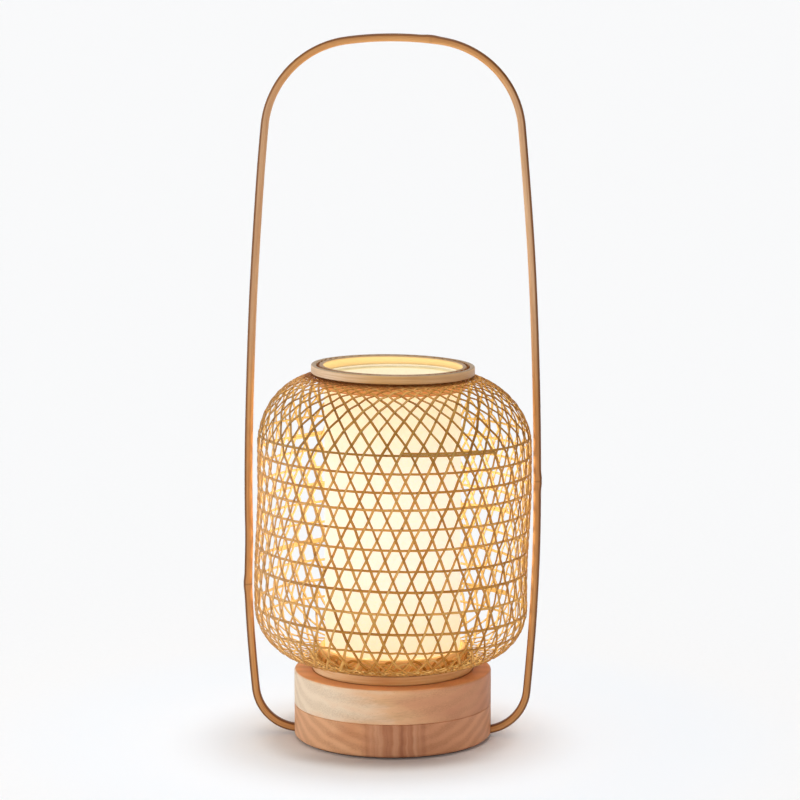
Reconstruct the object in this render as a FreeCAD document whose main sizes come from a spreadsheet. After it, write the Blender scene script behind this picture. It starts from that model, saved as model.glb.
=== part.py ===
"""Carry-handled table lantern: a woven bamboo shade on a round two-block wooden base.

Millimetres, +Z up.  The origin is the centre of the base at the table, the carrying handle
stands in the XZ plane and the cord gland is at the back, on +Y.
"""
import FreeCAD
import Part
import Sketcher
import math
import os

from FreeCAD import Placement, Rotation, Vector

X_AXIS = Vector(1, 0, 0)
Y_AXIS = Vector(0, 1, 0)
Z_AXIS = Vector(0, 0, 1)
ORIGIN = Vector(0, 0, 0)

# Driving dimensions: alias, value and what it measures.
SIZES = {
    # Felt pad and the two wooden blocks of the base.
    "pad_radius": (73.0, "felt pad under the base"),
    "pad_top": (1.6, "thickness of the felt pad"),
    "base_radius": (77.4, "both wooden blocks"),
    "seam_level": (27.3, "glue line between the blocks"),
    "base_top": (54.3, "top face of the upper block"),
    "edge_round": (1.6, "rounding of the top edge"),
    "edge_break": (0.5, "small break on the other edges"),
    "cavity_radius": (42.0, "wiring space in the lower block"),
    "cavity_top": (17.3, "ceiling of the wiring space"),
    "stem_clearance": (5.3, "hole for the threaded tube"),
    # Bottom cover, let into the lower block.
    "cover_recess": (50.0, "recess for the cover"),
    "cover_radius": (49.8, "bottom cover"),
    "cover_top": (4.5, "inner face of the cover"),
    # Screws: ring radius, hole radius and outline.
    "cover_screw_ring": (46.0, "cover screws about the axis"),
    "cover_screw_hole": (1.35, "pilot hole"),
    "cover_screw_sink": (2.7, "sunk head clearance"),
    "cover_screw_head": (2.5, "head radius"),
    "cover_screw_shank": (1.2, "shank radius"),
    "cover_screw_tip": (12.5, "end of the shank"),
    "cover_pilot_end": (14.0, "end of the pilot hole"),
    "sunk_head_face": (1.8, "face of the sunk heads"),
    "sunk_head_edge": (2.1, "edge of the sunk heads"),
    "sunk_head_end": (3.3, "where a sunk head meets its shank"),
    "sink_end": (3.4, "depth of the head clearance"),
    "base_screw_ring": (34.0, "screws that join the blocks"),
    "base_screw_hole": (2.05, "clearance hole"),
    "base_screw_head": (3.8, "head radius"),
    "base_screw_crown": (3.0, "head radius at its face"),
    "base_screw_shank": (1.9, "shank radius"),
    "base_screw_face": (14.9, "face of the head"),
    "base_screw_rim": (15.8, "edge of the head"),
    "base_screw_tip": (42.0, "end of the shank"),
    "base_pilot_end": (44.0, "end of the pilot hole"),
    # Cord gland at the back of the lower block.
    "gland_level": (11.0, "height of the gland's axis"),
    "gland_hole": (6.2, "hole through the wall"),
    "gland_sink": (9.0, "seat of the flange"),
    "gland_seat": (75.2, "flange seat from the axis"),
    "gland_bore": (3.3, "cord passage"),
    "gland_body": (6.0, "barrel radius"),
    "gland_flange": (8.7, "flange radius"),
    "gland_start": (40.5, "inner end of the barrel"),
    "gland_flange_back": (75.3, "back of the flange"),
    "gland_flange_front": (77.6, "front of the flange"),
    "gland_nose": (5.6, "radius of the outer lip"),
    "gland_end": (79.6, "outer end of the lip"),
    # Carrying handle: one bent bamboo strip, ends let into the base.
    "handle_top": (547.0, "centreline at the crown"),
    "crown_bend": (268.0, "bend radius of the crown"),
    "shoulder_bend": (73.0, "bend radius of the shoulders"),
    "upper_side_bend": (3060.0, "bend radius above the widest level"),
    "handle_half_width": (112.8, "centreline at the widest level"),
    "widest_level": (186.4, "widest level"),
    "lower_side_bend": (1647.0, "bend radius below the widest level"),
    "foot_bend": (35.0, "bend radius of the bottom corners"),
    "handle_end_level": (4.7, "centreline inside the base"),
    "handle_end": (53.5, "ends of the strip from the axis"),
    "strip_half_width": (4.0, "half of the strip, front to back"),
    "strip_half_depth": (3.0, "half of the strip, inside to outside"),
    "strip_round": (2.3, "rounding of its edges"),
    "slot_end": (53.2, "inner end of the slots in the base"),
    "slot_half_width": (4.2, "half width of the slots"),
    "slot_top": (8.9, "ceiling of the slots"),
    "handle_screw_inner": (59.5, "inner handle screws from the axis"),
    "handle_screw_outer": (69.5, "outer handle screws from the axis"),
    "handle_screw_hole": (1.65, "clearance hole"),
    "handle_screw_sink": (3.0, "sunk head clearance"),
    "handle_screw_head": (2.8, "head radius"),
    "handle_screw_shank": (1.5, "shank radius"),
    "handle_screw_tip": (19.0, "end of the shank"),
    "handle_pilot_end": (20.5, "end of the pilot hole"),
    # Wiring inside the base.
    "terminal_inner": (18.0, "near end of the terminal block"),
    "terminal_outer": (30.0, "far end of the terminal block"),
    "terminal_half_width": (8.0, "half of its width"),
    "terminal_bottom": (5.5, "lower face"),
    "lead_radius": (1.1, "insulated inner leads"),
    "lead_offset": (1.7, "leads from the middle plane"),
    "lead_level": (8.0, "leads where they leave the terminals"),
    "lead_bend": (5.0, "bend radius of the leads"),
    "lead_top": (69.4, "upper end of the leads"),
    # Threaded tube with its nuts and washer.
    "stem_bottom": (12.6, "lower end of the tube"),
    "stem_top": (68.0, "upper end of the tube"),
    "stem_radius": (5.0, "M10 outside"),
    "stem_bore": (3.5, "inside of the tube"),
    "washer_radius": (9.0, "washer under the cavity ceiling"),
    "washer_bottom": (16.1, "lower face of the washer"),
    "nut_flats": (14.0, "across flats"),
    "nut_hole": (5.05, "hole of the nuts"),
    "lower_nut_bottom": (13.1, "nut in the wiring space"),
    "nut_height": (3.0, "both nuts"),
    # Floor of the shade, fixed to the base.
    "floor_radius": (53.7, "disc inside the lower hoops"),
    "floor_top": (57.3, "upper face"),
    "floor_screw_ring": (44.0, "screws about the axis"),
    "floor_screw_hole": (1.65, "hole"),
    "floor_screw_sink": (3.0, "sunk head clearance"),
    "floor_screw_head": (2.8, "head radius"),
    "floor_screw_shank": (1.5, "shank radius"),
    "floor_screw_face": (57.1, "face of the head"),
    "floor_screw_edge": (56.8, "edge of the head"),
    "floor_screw_neck": (55.6, "where the head meets the shank"),
    "floor_sink_level": (55.5, "depth of the head clearance"),
    "floor_screw_tip": (42.0, "end of the shank"),
    "floor_pilot_end": (40.5, "end of the pilot hole"),
    # Woven shade and its four hoops.
    "shade_radius": (107.4, "outside of the weave"),
    "weave_wall": (2.0, "weave, three strips deep"),
    "shoulder_radius": (57.0, "upper rounding"),
    "shoulder_level": (231.0, "where the upper rounding starts"),
    "belly_radius": (42.0, "lower rounding"),
    "belly_level": (105.2, "where the lower rounding starts"),
    "rim_radius": (59.5, "outside of the weave between the hoops"),
    "rim_top": (293.8, "upper end of the weave"),
    "rim_bottom": (55.0, "lower end of the weave"),
    "outer_hoop_inside": (59.7, "both outer hoops"),
    "top_hoop_outside": (63.6, "upper outer hoop"),
    "top_hoop_bottom": (287.6, "upper outer hoop"),
    "hoop_top": (294.3, "upper edge of both top hoops"),
    "lower_hoop_outside": (63.0, "lower outer hoop"),
    "lower_hoop_top": (62.8, "lower outer hoop"),
    "inner_hoop_outside": (57.3, "both inner hoops"),
    "inner_hoop_inside": (54.0, "both inner hoops"),
    "top_inner_hoop_bottom": (277.0, "upper inner hoop"),
    "lower_inner_hoop_top": (73.0, "lower inner hoop"),
    "hoop_break": (0.8, "softened hoop edges"),
    # Loose diffuser that stands inside the weave.
    "diffuser_radius": (53.5, "outside of the sleeve"),
    "diffuser_wall": (0.5, "thickness of the sleeve"),
    "diffuser_bottom": (57.6, "lower edge"),
    "diffuser_top": (288.0, "upper edge"),
    "wire_radius": (1.2, "stiffening wires"),
    "wire_ring": (51.7, "centreline of both wire rings"),
    "lower_wire_level": (59.4, "lower wire"),
    "upper_wire_level": (286.4, "upper wire"),
    # E27 lampholder.
    "holder_radius": (19.5, "outside of cap and skirt"),
    "holder_inside": (18.0, "inside of cap and skirt"),
    "holder_bottom": (60.3, "lower face of the cap"),
    "holder_floor": (62.3, "inner face of the cap"),
    "holder_neck": (15.5, "cap radius at its lower face"),
    "holder_neck_inside": (14.0, "the same, inside"),
    "holder_shoulder": (64.5, "where the cap reaches its full radius"),
    "holder_entry": (5.1, "entry over the tube"),
    "cap_top": (79.8, "upper edge of the cap"),
    "skirt_bottom": (80.0, "lower edge of the skirt"),
    "skirt_lip_level": (102.0, "underside of the skirt's lip"),
    "skirt_top": (103.4, "upper edge of the skirt"),
    "skirt_lip": (14.7, "opening of the skirt"),
    "skirt_chamfer": (18.7, "outside of the skirt at its upper edge"),
    "skirt_chamfer_level": (102.6, "where that chamfer starts"),
    "core_bottom": (70.0, "ceramic core"),
    "core_top": (76.0, "ceramic core"),
    "core_radius": (17.6, "ceramic core"),
    "rivet_hole": (1.6, "centre hole of the core"),
    "rivet_radius": (1.4, "rivet of the centre contact"),
    "rivet_bottom": (69.6, "lower end of the rivet"),
    "contact_radius": (5.0, "centre contact"),
    "contact_top": (77.6, "centre contact"),
    "screw_shell_outside": (14.3, "lampholder screw shell"),
    "screw_shell_inside": (13.5, "the same, inside"),
    "screw_shell_opening": (8.0, "hole in the floor of the shell"),
    "screw_shell_floor": (76.8, "inner face of that floor"),
    "screw_shell_top": (101.0, "upper edge of the shell"),
    # Bulb with an E27 cap.
    "tip_bottom": (77.9, "solder tip of the bulb"),
    "tip_crown": (2.4, "tip radius at its lower face"),
    "tip_radius": (3.8, "solder tip"),
    "tip_edge": (78.6, "where the tip reaches its full radius"),
    "tip_top": (79.4, "upper face of the tip"),
    "insulator_bottom": (79.7, "glass insulator of the cap"),
    "insulator_nose": (4.5, "its lower radius"),
    "insulator_radius": (11.0, "its upper radius"),
    "insulator_shoulder": (83.2, "where it is widest"),
    "insulator_top": (84.4, "upper face"),
    "bulb_cap_radius": (13.05, "E27 screw cap"),
    "bulb_cap_inside": (12.55, "inside of the screw cap"),
    "bulb_cap_bottom": (83.4, "lower edge"),
    "bulb_cap_shoulder": (85.0, "where it reaches its full radius"),
    "bulb_cap_lip": (11.2, "its lower opening"),
    "bulb_cap_top": (104.2, "upper edge"),
    "housing_bottom": (104.4, "bulb housing"),
    "housing_floor": (106.4, "inner face of its floor"),
    "housing_neck": (13.4, "radius at its lower end"),
    "housing_neck_inside": (11.6, "the same, inside"),
    "housing_radius": (28.8, "radius at its upper end"),
    "housing_inside": (27.0, "the same, inside"),
    "housing_shoulder": (139.0, "where the cone ends"),
    "housing_top": (141.4, "upper edge"),
    "board_radius": (26.0, "light board"),
    "board_bottom": (139.4, "light board"),
    "board_top": (141.0, "light board"),
    "globe_radius": (30.0, "frosted globe"),
    "globe_inside": (28.8, "inside of the globe"),
    "globe_bottom": (141.5, "lower edge of the globe"),
    "globe_centre": (152.0, "centre of the globe"),
}

SCREW_ANGLE = 30.0          # every ring of three screws starts here, clear of the gland
SCREWS_IN_RING = 3
HANDLE_SIDES = 2
FULL_TURN = 360.0

document = FreeCAD.newDocument("lantern")
sheet = document.addObject("Spreadsheet::Sheet", "dims")
nodes = []


def fill_sheet():
    """Write every driving dimension to its row of the spreadsheet."""
    for row, (alias, (size, meaning)) in enumerate(SIZES.items(), start=1):
        sheet.set(f"A{row}", alias)
        sheet.set(f"B{row}", str(size))
        sheet.set(f"C{row}", meaning)
        sheet.setAlias(f"B{row}", alias)
    document.recompute()


def value(words):
    """Work out a sum such as "base_top - edge_round"."""
    total = 0.0
    sign = 1.0
    for word in words.split():
        if word in "+-":
            sign = 1.0 if word == "+" else -1.0
        elif word in SIZES:
            total += sign * sheet.get(word)
        else:
            total += sign * float(word)
    return total


def bound(words):
    """Turn the same sum into an expression on the spreadsheet."""
    return " ".join(f"dims.{word}" if word in SIZES else word for word in words.split())


def new_body(label):
    """Start a sub-part as a body of its own."""
    body = document.addObject("PartDesign::Body", f"{label}_body")
    body.Label = label
    nodes.append(body)
    return body


def origin_plane(body, role):
    """Find one of the body's own origin planes."""
    return next(item for item in body.Origin.OriginFeatures if item.Role == role)


def new_sketch(body, name, role="XZ_Plane", lift=None, turn=0.0):
    """Attach a sketch to an origin plane, raised along its normal and turned about +Z."""
    sketch = body.newObject("Sketcher::SketchObject", f"{body.Label}_{name}")
    sketch.AttachmentSupport = [(origin_plane(body, role), "")]
    sketch.MapMode = "FlatFace"
    upright = Y_AXIS if role == "XZ_Plane" else Z_AXIS
    sketch.AttachmentOffset = Placement(ORIGIN, Rotation(upright, turn))
    if lift:
        sketch.setExpression("AttachmentOffset.Base.z", lift)
    return sketch


def bind(sketch, kind, places, words, name):
    """Add a dimension to a sketch and bind it to the spreadsheet."""
    index = sketch.addConstraint(Sketcher.Constraint(kind, *places, value(words)))
    sketch.renameConstraint(index, name)
    sketch.setExpression(f"Constraints.{name}", bound(words))


def place_point(sketch, edge, end, across, up, name):
    """Hold one end of an edge at its sheet coordinates; None leaves that one free."""
    for words, kind, axis in ((across, "DistanceX", -2), (up, "DistanceY", -1)):
        if words == "0":
            sketch.addConstraint(Sketcher.Constraint("PointOnObject", edge, end, axis))
        elif words is not None:
            bind(sketch, kind, (-1, 1, edge, end), words, f"{name}_{kind}")


class Arc:
    """A round stretch of an outline, from the corner before it to the corner after.

    Where one of those corners is left free, hold says how the centre is held instead:
    "level" at its height, or "axis" on the vertical axis.
    """

    def __init__(self, radius, centre_across, centre_up, hold=None):
        self.radius = radius
        self.centre_across = centre_across
        self.centre_up = centre_up
        self.hold = hold

    def centre(self):
        return Vector(value(self.centre_across), value(self.centre_up), 0)


def corner_vector(corner, arc):
    """Coordinates of a corner; one that is None lies where the arc crosses the other."""
    across, up = corner
    if across is None:
        rise = value(up) - arc.centre().y
        run = math.sqrt(value(arc.radius) ** 2 - rise ** 2)
        return Vector(arc.centre().x + run, value(up), 0)
    if up is None:
        run = value(across) - arc.centre().x
        rise = math.sqrt(value(arc.radius) ** 2 - run ** 2)
        return Vector(value(across), arc.centre().y + rise, 0)
    return Vector(value(across), value(up), 0)


def neighbour_arc(steps, index):
    """The arc that touches a corner, where there is one."""
    for beside in (steps[index - 1], steps[(index + 1) % len(steps)]):
        if isinstance(beside, Arc):
            return beside
    return None


def arc_edge(arc, start, end):
    """The shorter arc about the centre, and whether it runs from start to end."""
    centre = arc.centre()
    first = math.atan2(start.y - centre.y, start.x - centre.x)
    last = math.atan2(end.y - centre.y, end.x - centre.x)
    forward = (last - first) % (2 * math.pi) < math.pi
    low, high = (first, last) if forward else (last, first)
    if high < low:
        high += 2 * math.pi
    circle = Part.Circle(centre, Z_AXIS, value(arc.radius))
    return Part.ArcOfCircle(circle, low, high), forward


def draw_outline(sketch, steps):
    """Draw a closed outline of corners, with straight edges or arcs between them."""
    corners = [i for i, step in enumerate(steps) if not isinstance(step, Arc)]
    points = {i: corner_vector(steps[i], neighbour_arc(steps, i)) for i in corners}
    edges = []
    for i, following in zip(corners, corners[1:] + corners[:1]):
        between = steps[i + 1] if i + 1 < len(steps) else None
        if isinstance(between, Arc):
            shape, forward = arc_edge(between, points[i], points[following])
            edge = sketch.addGeometry(shape, False)
            bind(sketch, "Radius", (edge,), between.radius, f"bend_{i}")
            if between.hold == "level":
                bind(sketch, "DistanceY", (-1, 1, edge, 3), between.centre_up, f"level_{i}")
            if between.hold == "axis":
                sketch.addConstraint(Sketcher.Constraint("PointOnObject", edge, 3, -2))
            edges.append((edge, 1 if forward else 2, 2 if forward else 1))
        else:
            line = Part.LineSegment(points[i], points[following])
            edges.append((sketch.addGeometry(line, False), 1, 2))
    for (edge, _, end), (after, start, _) in zip(edges, edges[1:] + edges[:1]):
        sketch.addConstraint(Sketcher.Constraint("Coincident", edge, end, after, start))
    for i, (edge, start, _) in zip(corners, edges):
        place_point(sketch, edge, start, *steps[i], f"corner_{i}")


def turned(label, steps, ring=None, count=1, first_angle=0.0):
    """Turn an outline of (radius, height) about +Z.

    With a ring radius the outline stands on that ring and the piece is repeated round it.
    """
    body = new_body(label)
    sketch = new_sketch(body, "outline", turn=first_angle)
    axis = "V_Axis"
    if ring:
        steps = [(f"{ring} + {radius}" if radius != "0" else ring, up) for radius, up in steps]
    draw_outline(sketch, steps)
    if ring:
        foot = Part.LineSegment(Vector(value(ring), 0, 0), Vector(value(ring), 1, 0))
        line = sketch.addGeometry(foot, True)
        sketch.addConstraint(Sketcher.Constraint("Vertical", line))
        sketch.addConstraint(Sketcher.Constraint("PointOnObject", line, 1, -1))
        bind(sketch, "DistanceX", (-1, 1, line, 1), ring, "axis_across")
        bind(sketch, "Distance", (line,), "1", "axis_length")
        axis = "Axis0"
    turn = body.newObject("PartDesign::Revolution", f"{label}_turn")
    turn.Profile = sketch
    turn.ReferenceAxis = (sketch, [axis])
    turn.Angle = FULL_TURN
    document.recompute()
    if count > 1:
        repeat_round(body, turn, count)
    return body


def repeat_round(body, feature, count):
    """Repeat a feature about the body's vertical axis."""
    pattern = body.newObject("PartDesign::PolarPattern", f"{feature.Name}_ring")
    pattern.Originals = [feature]
    upright = next(item for item in body.Origin.OriginFeatures if item.Role == "Z_Axis")
    pattern.Axis = (upright, [""])
    pattern.Angle = FULL_TURN
    pattern.Occurrences = count
    body.Tip = pattern
    document.recompute()


def cut(body, name, sketch, depth, reverse):
    """Pocket a sketch into the body, and check that it took something away."""
    before = body.Shape.Volume
    pocket = body.newObject("PartDesign::Pocket", f"{body.Label}_{name}")
    pocket.Profile = sketch
    pocket.Reversed = reverse
    pocket.setExpression("Length", depth)
    document.recompute()
    if not body.Shape.Volume < before:
        raise RuntimeError(f"{body.Label}: {name} removed nothing")
    return pocket


def drill(body, name, radius, ring, low, high, count=SCREWS_IN_RING, first_angle=SCREW_ANGLE):
    """Drill upright holes on a ring, from one level up to another."""
    sketch = new_sketch(body, f"{name}_circle", "XY_Plane", bound(low), first_angle)
    circle = Part.Circle(Vector(value(ring), 0, 0), Z_AXIS, value(radius))
    edge = sketch.addGeometry(circle, False)
    bind(sketch, "Radius", (edge,), radius, "hole")
    bind(sketch, "DistanceX", (-1, 1, edge, 3), ring, "ring")
    sketch.addConstraint(Sketcher.Constraint("PointOnObject", edge, 3, -1))
    pocket = cut(body, name, sketch, f"{bound(high)} - ({bound(low)})", True)
    repeat_round(body, pocket, count)


def bore_back(body, name, radius, start, end):
    """Bore from one distance behind the axis to another, at the gland's level."""
    sketch = new_sketch(body, f"{name}_circle", "XZ_Plane", f"-({bound(start)})")
    circle = Part.Circle(Vector(0, value("gland_level"), 0), Z_AXIS, value(radius))
    edge = sketch.addGeometry(circle, False)
    bind(sketch, "Radius", (edge,), radius, "hole")
    place_point(sketch, edge, 3, "0", "gland_level", "centre")
    cut(body, name, sketch, f"{bound(end)} - ({bound(start)})", False)


def rectangle(sketch, left, right, low, high):
    """Draw a rectangle between four sheet sums."""
    draw_outline(sketch, [(left, low), (right, low), (right, high), (left, high)])


def felt_pad():
    turned("bottom_felt_pad", [
        ("0", "0"), ("pad_radius", "0"), ("pad_radius", "pad_top"), ("0", "pad_top")])


def bottom_cover():
    body = turned("bottom_cover", [
        ("0", "pad_top"), ("cover_radius", "pad_top"), ("cover_radius", "cover_top"), ("0", "cover_top")])
    drill(body, "screw_holes", "cover_screw_hole", "cover_screw_ring", "pad_top", "cover_top")
    drill(body, "head_sinks", "cover_screw_sink", "cover_screw_ring", "pad_top", "sink_end")


def sunk_screws(label, size, ring, tip, count, first_angle):
    """Countersunk screws driven upwards from the bottom."""
    return turned(label, [
        ("0", "sunk_head_face"), (f"{size}_head", "sunk_head_face"), (f"{size}_head", "sunk_head_edge"),
        (f"{size}_shank", "sunk_head_end"), (f"{size}_shank", f"{tip} - {size}_shank"), ("0", tip)],
        ring, count, first_angle)


def cover_screws():
    sunk_screws("cover_screws", "cover_screw", "cover_screw_ring", "cover_screw_tip",
                SCREWS_IN_RING, SCREW_ANGLE)


def lower_block():
    """Redder block: wiring space, cover recess, handle slots, gland hole and screw holes."""
    body = turned("base_lower_block", [
        ("stem_clearance", "cavity_top"), ("cavity_radius", "cavity_top"), ("cavity_radius", "cover_top"),
        ("cover_recess", "cover_top"), ("cover_recess", "pad_top"),
        ("base_radius - edge_round", "pad_top"), ("base_radius", "pad_top + edge_round"),
        ("base_radius", "seam_level - edge_break"), ("base_radius - edge_break", "seam_level"),
        ("stem_clearance", "seam_level")])
    slots = new_sketch(body, "slots", "XY_Plane", bound("pad_top"))
    rectangle(slots, "slot_end", "base_radius + edge_round", "0 - slot_half_width", "slot_half_width")
    slot = cut(body, "slot", slots, f"{bound('slot_top')} - {bound('pad_top')}", True)
    repeat_round(body, slot, HANDLE_SIDES)
    bore_back(body, "gland_hole", "gland_hole", "cavity_radius - edge_round", "base_radius + edge_round")
    bore_back(body, "gland_seat", "gland_sink", "gland_seat", "base_radius + edge_round")
    drill(body, "cover_pilots", "cover_screw_hole", "cover_screw_ring", "cover_top", "cover_pilot_end")
    drill(body, "base_holes", "base_screw_hole", "base_screw_ring", "cavity_top", "seam_level")
    for name in ("inner", "outer"):
        drill(body, f"{name}_handle_pilots", "handle_screw_hole", f"handle_screw_{name}",
              "slot_top", "handle_pilot_end", HANDLE_SIDES, 0.0)


def upper_block():
    """Paler block with a rounded top edge."""
    body = turned("base_upper_block", [
        ("stem_clearance", "seam_level"), ("base_radius - edge_break", "seam_level"),
        ("base_radius", "seam_level + edge_break"), ("base_radius", "base_top - edge_round"),
        Arc("edge_round", "base_radius - edge_round", "base_top - edge_round"),
        ("base_radius - edge_round", "base_top"), ("stem_clearance", "base_top")])
    drill(body, "base_pilots", "base_screw_hole", "base_screw_ring", "seam_level", "base_pilot_end")
    drill(body, "floor_pilots", "floor_screw_hole", "floor_screw_ring", "floor_pilot_end", "base_top")


def base_screws():
    """Pan-head screws from the wiring space up into the upper block."""
    turned("base_screws", [
        ("0", "base_screw_face"), ("base_screw_crown", "base_screw_face"),
        ("base_screw_head", "base_screw_rim"), ("base_screw_head", "cavity_top"),
        ("base_screw_shank", "cavity_top"),
        ("base_screw_shank", "base_screw_tip - base_screw_shank"), ("0", "base_screw_tip")],
        "base_screw_ring", SCREWS_IN_RING, SCREW_ANGLE)


def cord_gland():
    """Rubber bush that lies along +Y in the back of the lower block."""
    body = turned("cord_gland", [
        ("gland_bore", "gland_start"), ("gland_body", "gland_start"), ("gland_body", "gland_flange_back"),
        ("gland_flange", "gland_flange_back"), ("gland_flange", "gland_flange_front"),
        ("gland_nose", "gland_flange_front"), ("gland_nose", "gland_end"), ("gland_bore", "gland_end")])
    body.Placement = Placement(Vector(0, 0, value("gland_level")), Rotation(X_AXIS, -90))
    body.setExpression("Placement.Base.z", bound("gland_level"))


def bend_centres():
    """Centres of the five bends of half the handle, each tangent to the next."""
    crown = Vector(0, value("handle_top - crown_bend"), 0)
    upper = Vector(value("handle_half_width - upper_side_bend"), value("widest_level"), 0)
    from_crown = value("crown_bend - shoulder_bend")
    from_upper = value("upper_side_bend - shoulder_bend")
    apart = upper.sub(crown)
    along = (from_crown ** 2 - from_upper ** 2 + apart.Length ** 2) / (2 * apart.Length)
    aside = math.sqrt(from_crown ** 2 - along ** 2)
    unit = Vector(apart).normalize()
    shoulder = crown + unit * along + Vector(unit.y, -unit.x, 0) * aside
    lower = Vector(value("handle_half_width - lower_side_bend"), value("widest_level"), 0)
    drop = value("widest_level - handle_end_level - foot_bend")
    reach = math.sqrt(value("lower_side_bend - foot_bend") ** 2 - drop ** 2)
    foot = Vector(lower.x + reach, value("handle_end_level + foot_bend"), 0)
    return crown, shoulder, upper, lower, foot


def direction(start, end):
    """Angle of the line from one centre to the next."""
    return math.atan2(end.y - start.y, end.x - start.x)


def handle_path(body):
    """Half of the handle's centreline, from the crown down to its end inside the base."""
    crown, shoulder, upper, lower, foot = bend_centres()
    bends = [
        (crown, "crown_bend", direction(crown, shoulder), math.pi / 2),
        (shoulder, "shoulder_bend", direction(upper, shoulder), direction(crown, shoulder)),
        (upper, "upper_side_bend", 0.0, direction(upper, shoulder)),
        (lower, "lower_side_bend", direction(lower, foot), 0.0),
        (foot, "foot_bend", -math.pi / 2, direction(lower, foot))]
    path = new_sketch(body, "path")
    for edge, (centre, radius, low, high) in enumerate(bends):
        path.addGeometry(Part.ArcOfCircle(Part.Circle(centre, Z_AXIS, value(radius)), low, high), False)
        bind(path, "Radius", (edge,), radius, radius)
    end = Vector(value("handle_end"), value("handle_end_level"), 0)
    run = path.addGeometry(Part.LineSegment(Vector(foot.x, end.y, 0), end), False)
    for edge in range(len(bends) - 1):
        path.addConstraint(Sketcher.Constraint("Tangent", edge, 1, edge + 1, 2))
    path.addConstraint(Sketcher.Constraint("Tangent", run - 1, 1, run, 1))
    path.addConstraint(Sketcher.Constraint("Horizontal", run))
    path.addConstraint(Sketcher.Constraint("PointOnObject", 0, 3, -2))
    place_point(path, 0, 2, "0", "handle_top", "crown")
    place_point(path, 3, 2, "handle_half_width", "widest_level", "widest")
    bind(path, "DistanceY", (-1, 1, 2, 3), "widest_level", "upper_centre")
    place_point(path, run, 2, "handle_end", "handle_end_level", "end")
    return path


def strip_section(body):
    """Cross-section of the strip, with rounded edges, where the path starts at the crown."""
    section = new_sketch(body, "section", "YZ_Plane")
    outer = "handle_top + strip_half_depth"
    inner = "handle_top - strip_half_depth"
    back = "strip_half_width"
    front = "0 - strip_half_width"
    draw_outline(section, [
        (f"{back} - strip_round", outer), (f"{front} + strip_round", outer),
        Arc("strip_round", f"{front} + strip_round", f"{outer} - strip_round"),
        (front, f"{outer} - strip_round"), (front, f"{inner} + strip_round"),
        Arc("strip_round", f"{front} + strip_round", f"{inner} + strip_round"),
        (f"{front} + strip_round", inner), (f"{back} - strip_round", inner),
        Arc("strip_round", f"{back} - strip_round", f"{inner} + strip_round"),
        (back, f"{inner} + strip_round"), (back, f"{outer} - strip_round"),
        Arc("strip_round", f"{back} - strip_round", f"{outer} - strip_round")])
    return section


def swept(body, section, path):
    """Carry a section along a path."""
    pipe = body.newObject("PartDesign::AdditivePipe", f"{body.Label}_pipe")
    pipe.Profile = section
    pipe.Spine = path
    document.recompute()
    return pipe


def handle_strip():
    """Bent strip: half of it swept from the crown, mirrored, and drilled for its screws."""
    body = new_body("handle_strip")
    pipe = swept(body, strip_section(body), handle_path(body))
    mirror = body.newObject("PartDesign::Mirrored", "handle_mirror")
    mirror.Originals = [pipe]
    mirror.MirrorPlane = (origin_plane(body, "YZ_Plane"), [""])
    body.Tip = mirror
    document.recompute()
    for name in ("inner", "outer"):
        ring = f"handle_screw_{name}"
        drill(body, f"{name}_holes", "handle_screw_hole", ring, "0", "slot_top", HANDLE_SIDES, 0.0)
        drill(body, f"{name}_sinks", "handle_screw_sink", ring, "0", "sink_end", HANDLE_SIDES, 0.0)


def handle_screws():
    """Two screws up through each end of the handle, all four in one sub-part."""
    pairs = [sunk_screws(f"handle_screws_{name}", "handle_screw", f"handle_screw_{name}",
                         "handle_screw_tip", HANDLE_SIDES, 0.0) for name in ("inner", "outer")]
    group = document.addObject("Part::Compound", "handle_screw_group")
    group.Links = pairs
    group.Label = "handle_screws"
    for pair in pairs:
        nodes.remove(pair)
    nodes.append(group)


def terminal_block():
    """Connector on the ceiling of the wiring space."""
    body = new_body("terminal_block")
    sketch = new_sketch(body, "plan", "XY_Plane", bound("terminal_bottom"))
    rectangle(sketch, "0 - terminal_outer", "0 - terminal_inner",
              "0 - terminal_half_width", "terminal_half_width")
    pad = body.newObject("PartDesign::Pad", "terminal_pad")
    pad.Profile = sketch
    pad.setExpression("Length", f"{bound('cavity_top')} - {bound('terminal_bottom')}")
    document.recompute()


def lead(label, side):
    """Insulated lead from the terminals, round one bend and up inside the threaded tube."""
    body = new_body(label)
    section = new_sketch(body, "section", "YZ_Plane", f"-({bound('terminal_inner')})")
    middle = Vector(side * value("lead_offset"), value("lead_level"), 0)
    circle = section.addGeometry(Part.Circle(middle, Z_AXIS, value("lead_radius")), False)
    bind(section, "Radius", (circle,), "lead_radius", "lead")
    offset = "lead_offset" if side > 0 else "0 - lead_offset"
    place_point(section, circle, 3, offset, "lead_level", "centre")
    path = new_sketch(body, "path", lift=f"-({bound(offset)})")
    level = value("lead_level")
    bend = value("lead_bend")
    start = Vector(-value("terminal_inner"), level, 0)
    level_run = path.addGeometry(Part.LineSegment(start, Vector(-bend, level, 0)), False)
    corner = Part.Circle(Vector(-bend, level + bend, 0), Z_AXIS, bend)
    turn = path.addGeometry(Part.ArcOfCircle(corner, -math.pi / 2, 0), False)
    rise = Part.LineSegment(Vector(0, level + bend, 0), Vector(0, value("lead_top"), 0))
    upright_run = path.addGeometry(rise, False)
    path.addConstraint(Sketcher.Constraint("Tangent", level_run, 2, turn, 1))
    path.addConstraint(Sketcher.Constraint("Tangent", turn, 2, upright_run, 1))
    path.addConstraint(Sketcher.Constraint("Horizontal", level_run))
    bind(path, "Radius", (turn,), "lead_bend", "bend")
    place_point(path, level_run, 1, "0 - terminal_inner", "lead_level", "start")
    place_point(path, upright_run, 1, "0", None, "rise")
    place_point(path, upright_run, 2, "0", "lead_top", "top")
    swept(body, section, path)


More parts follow.
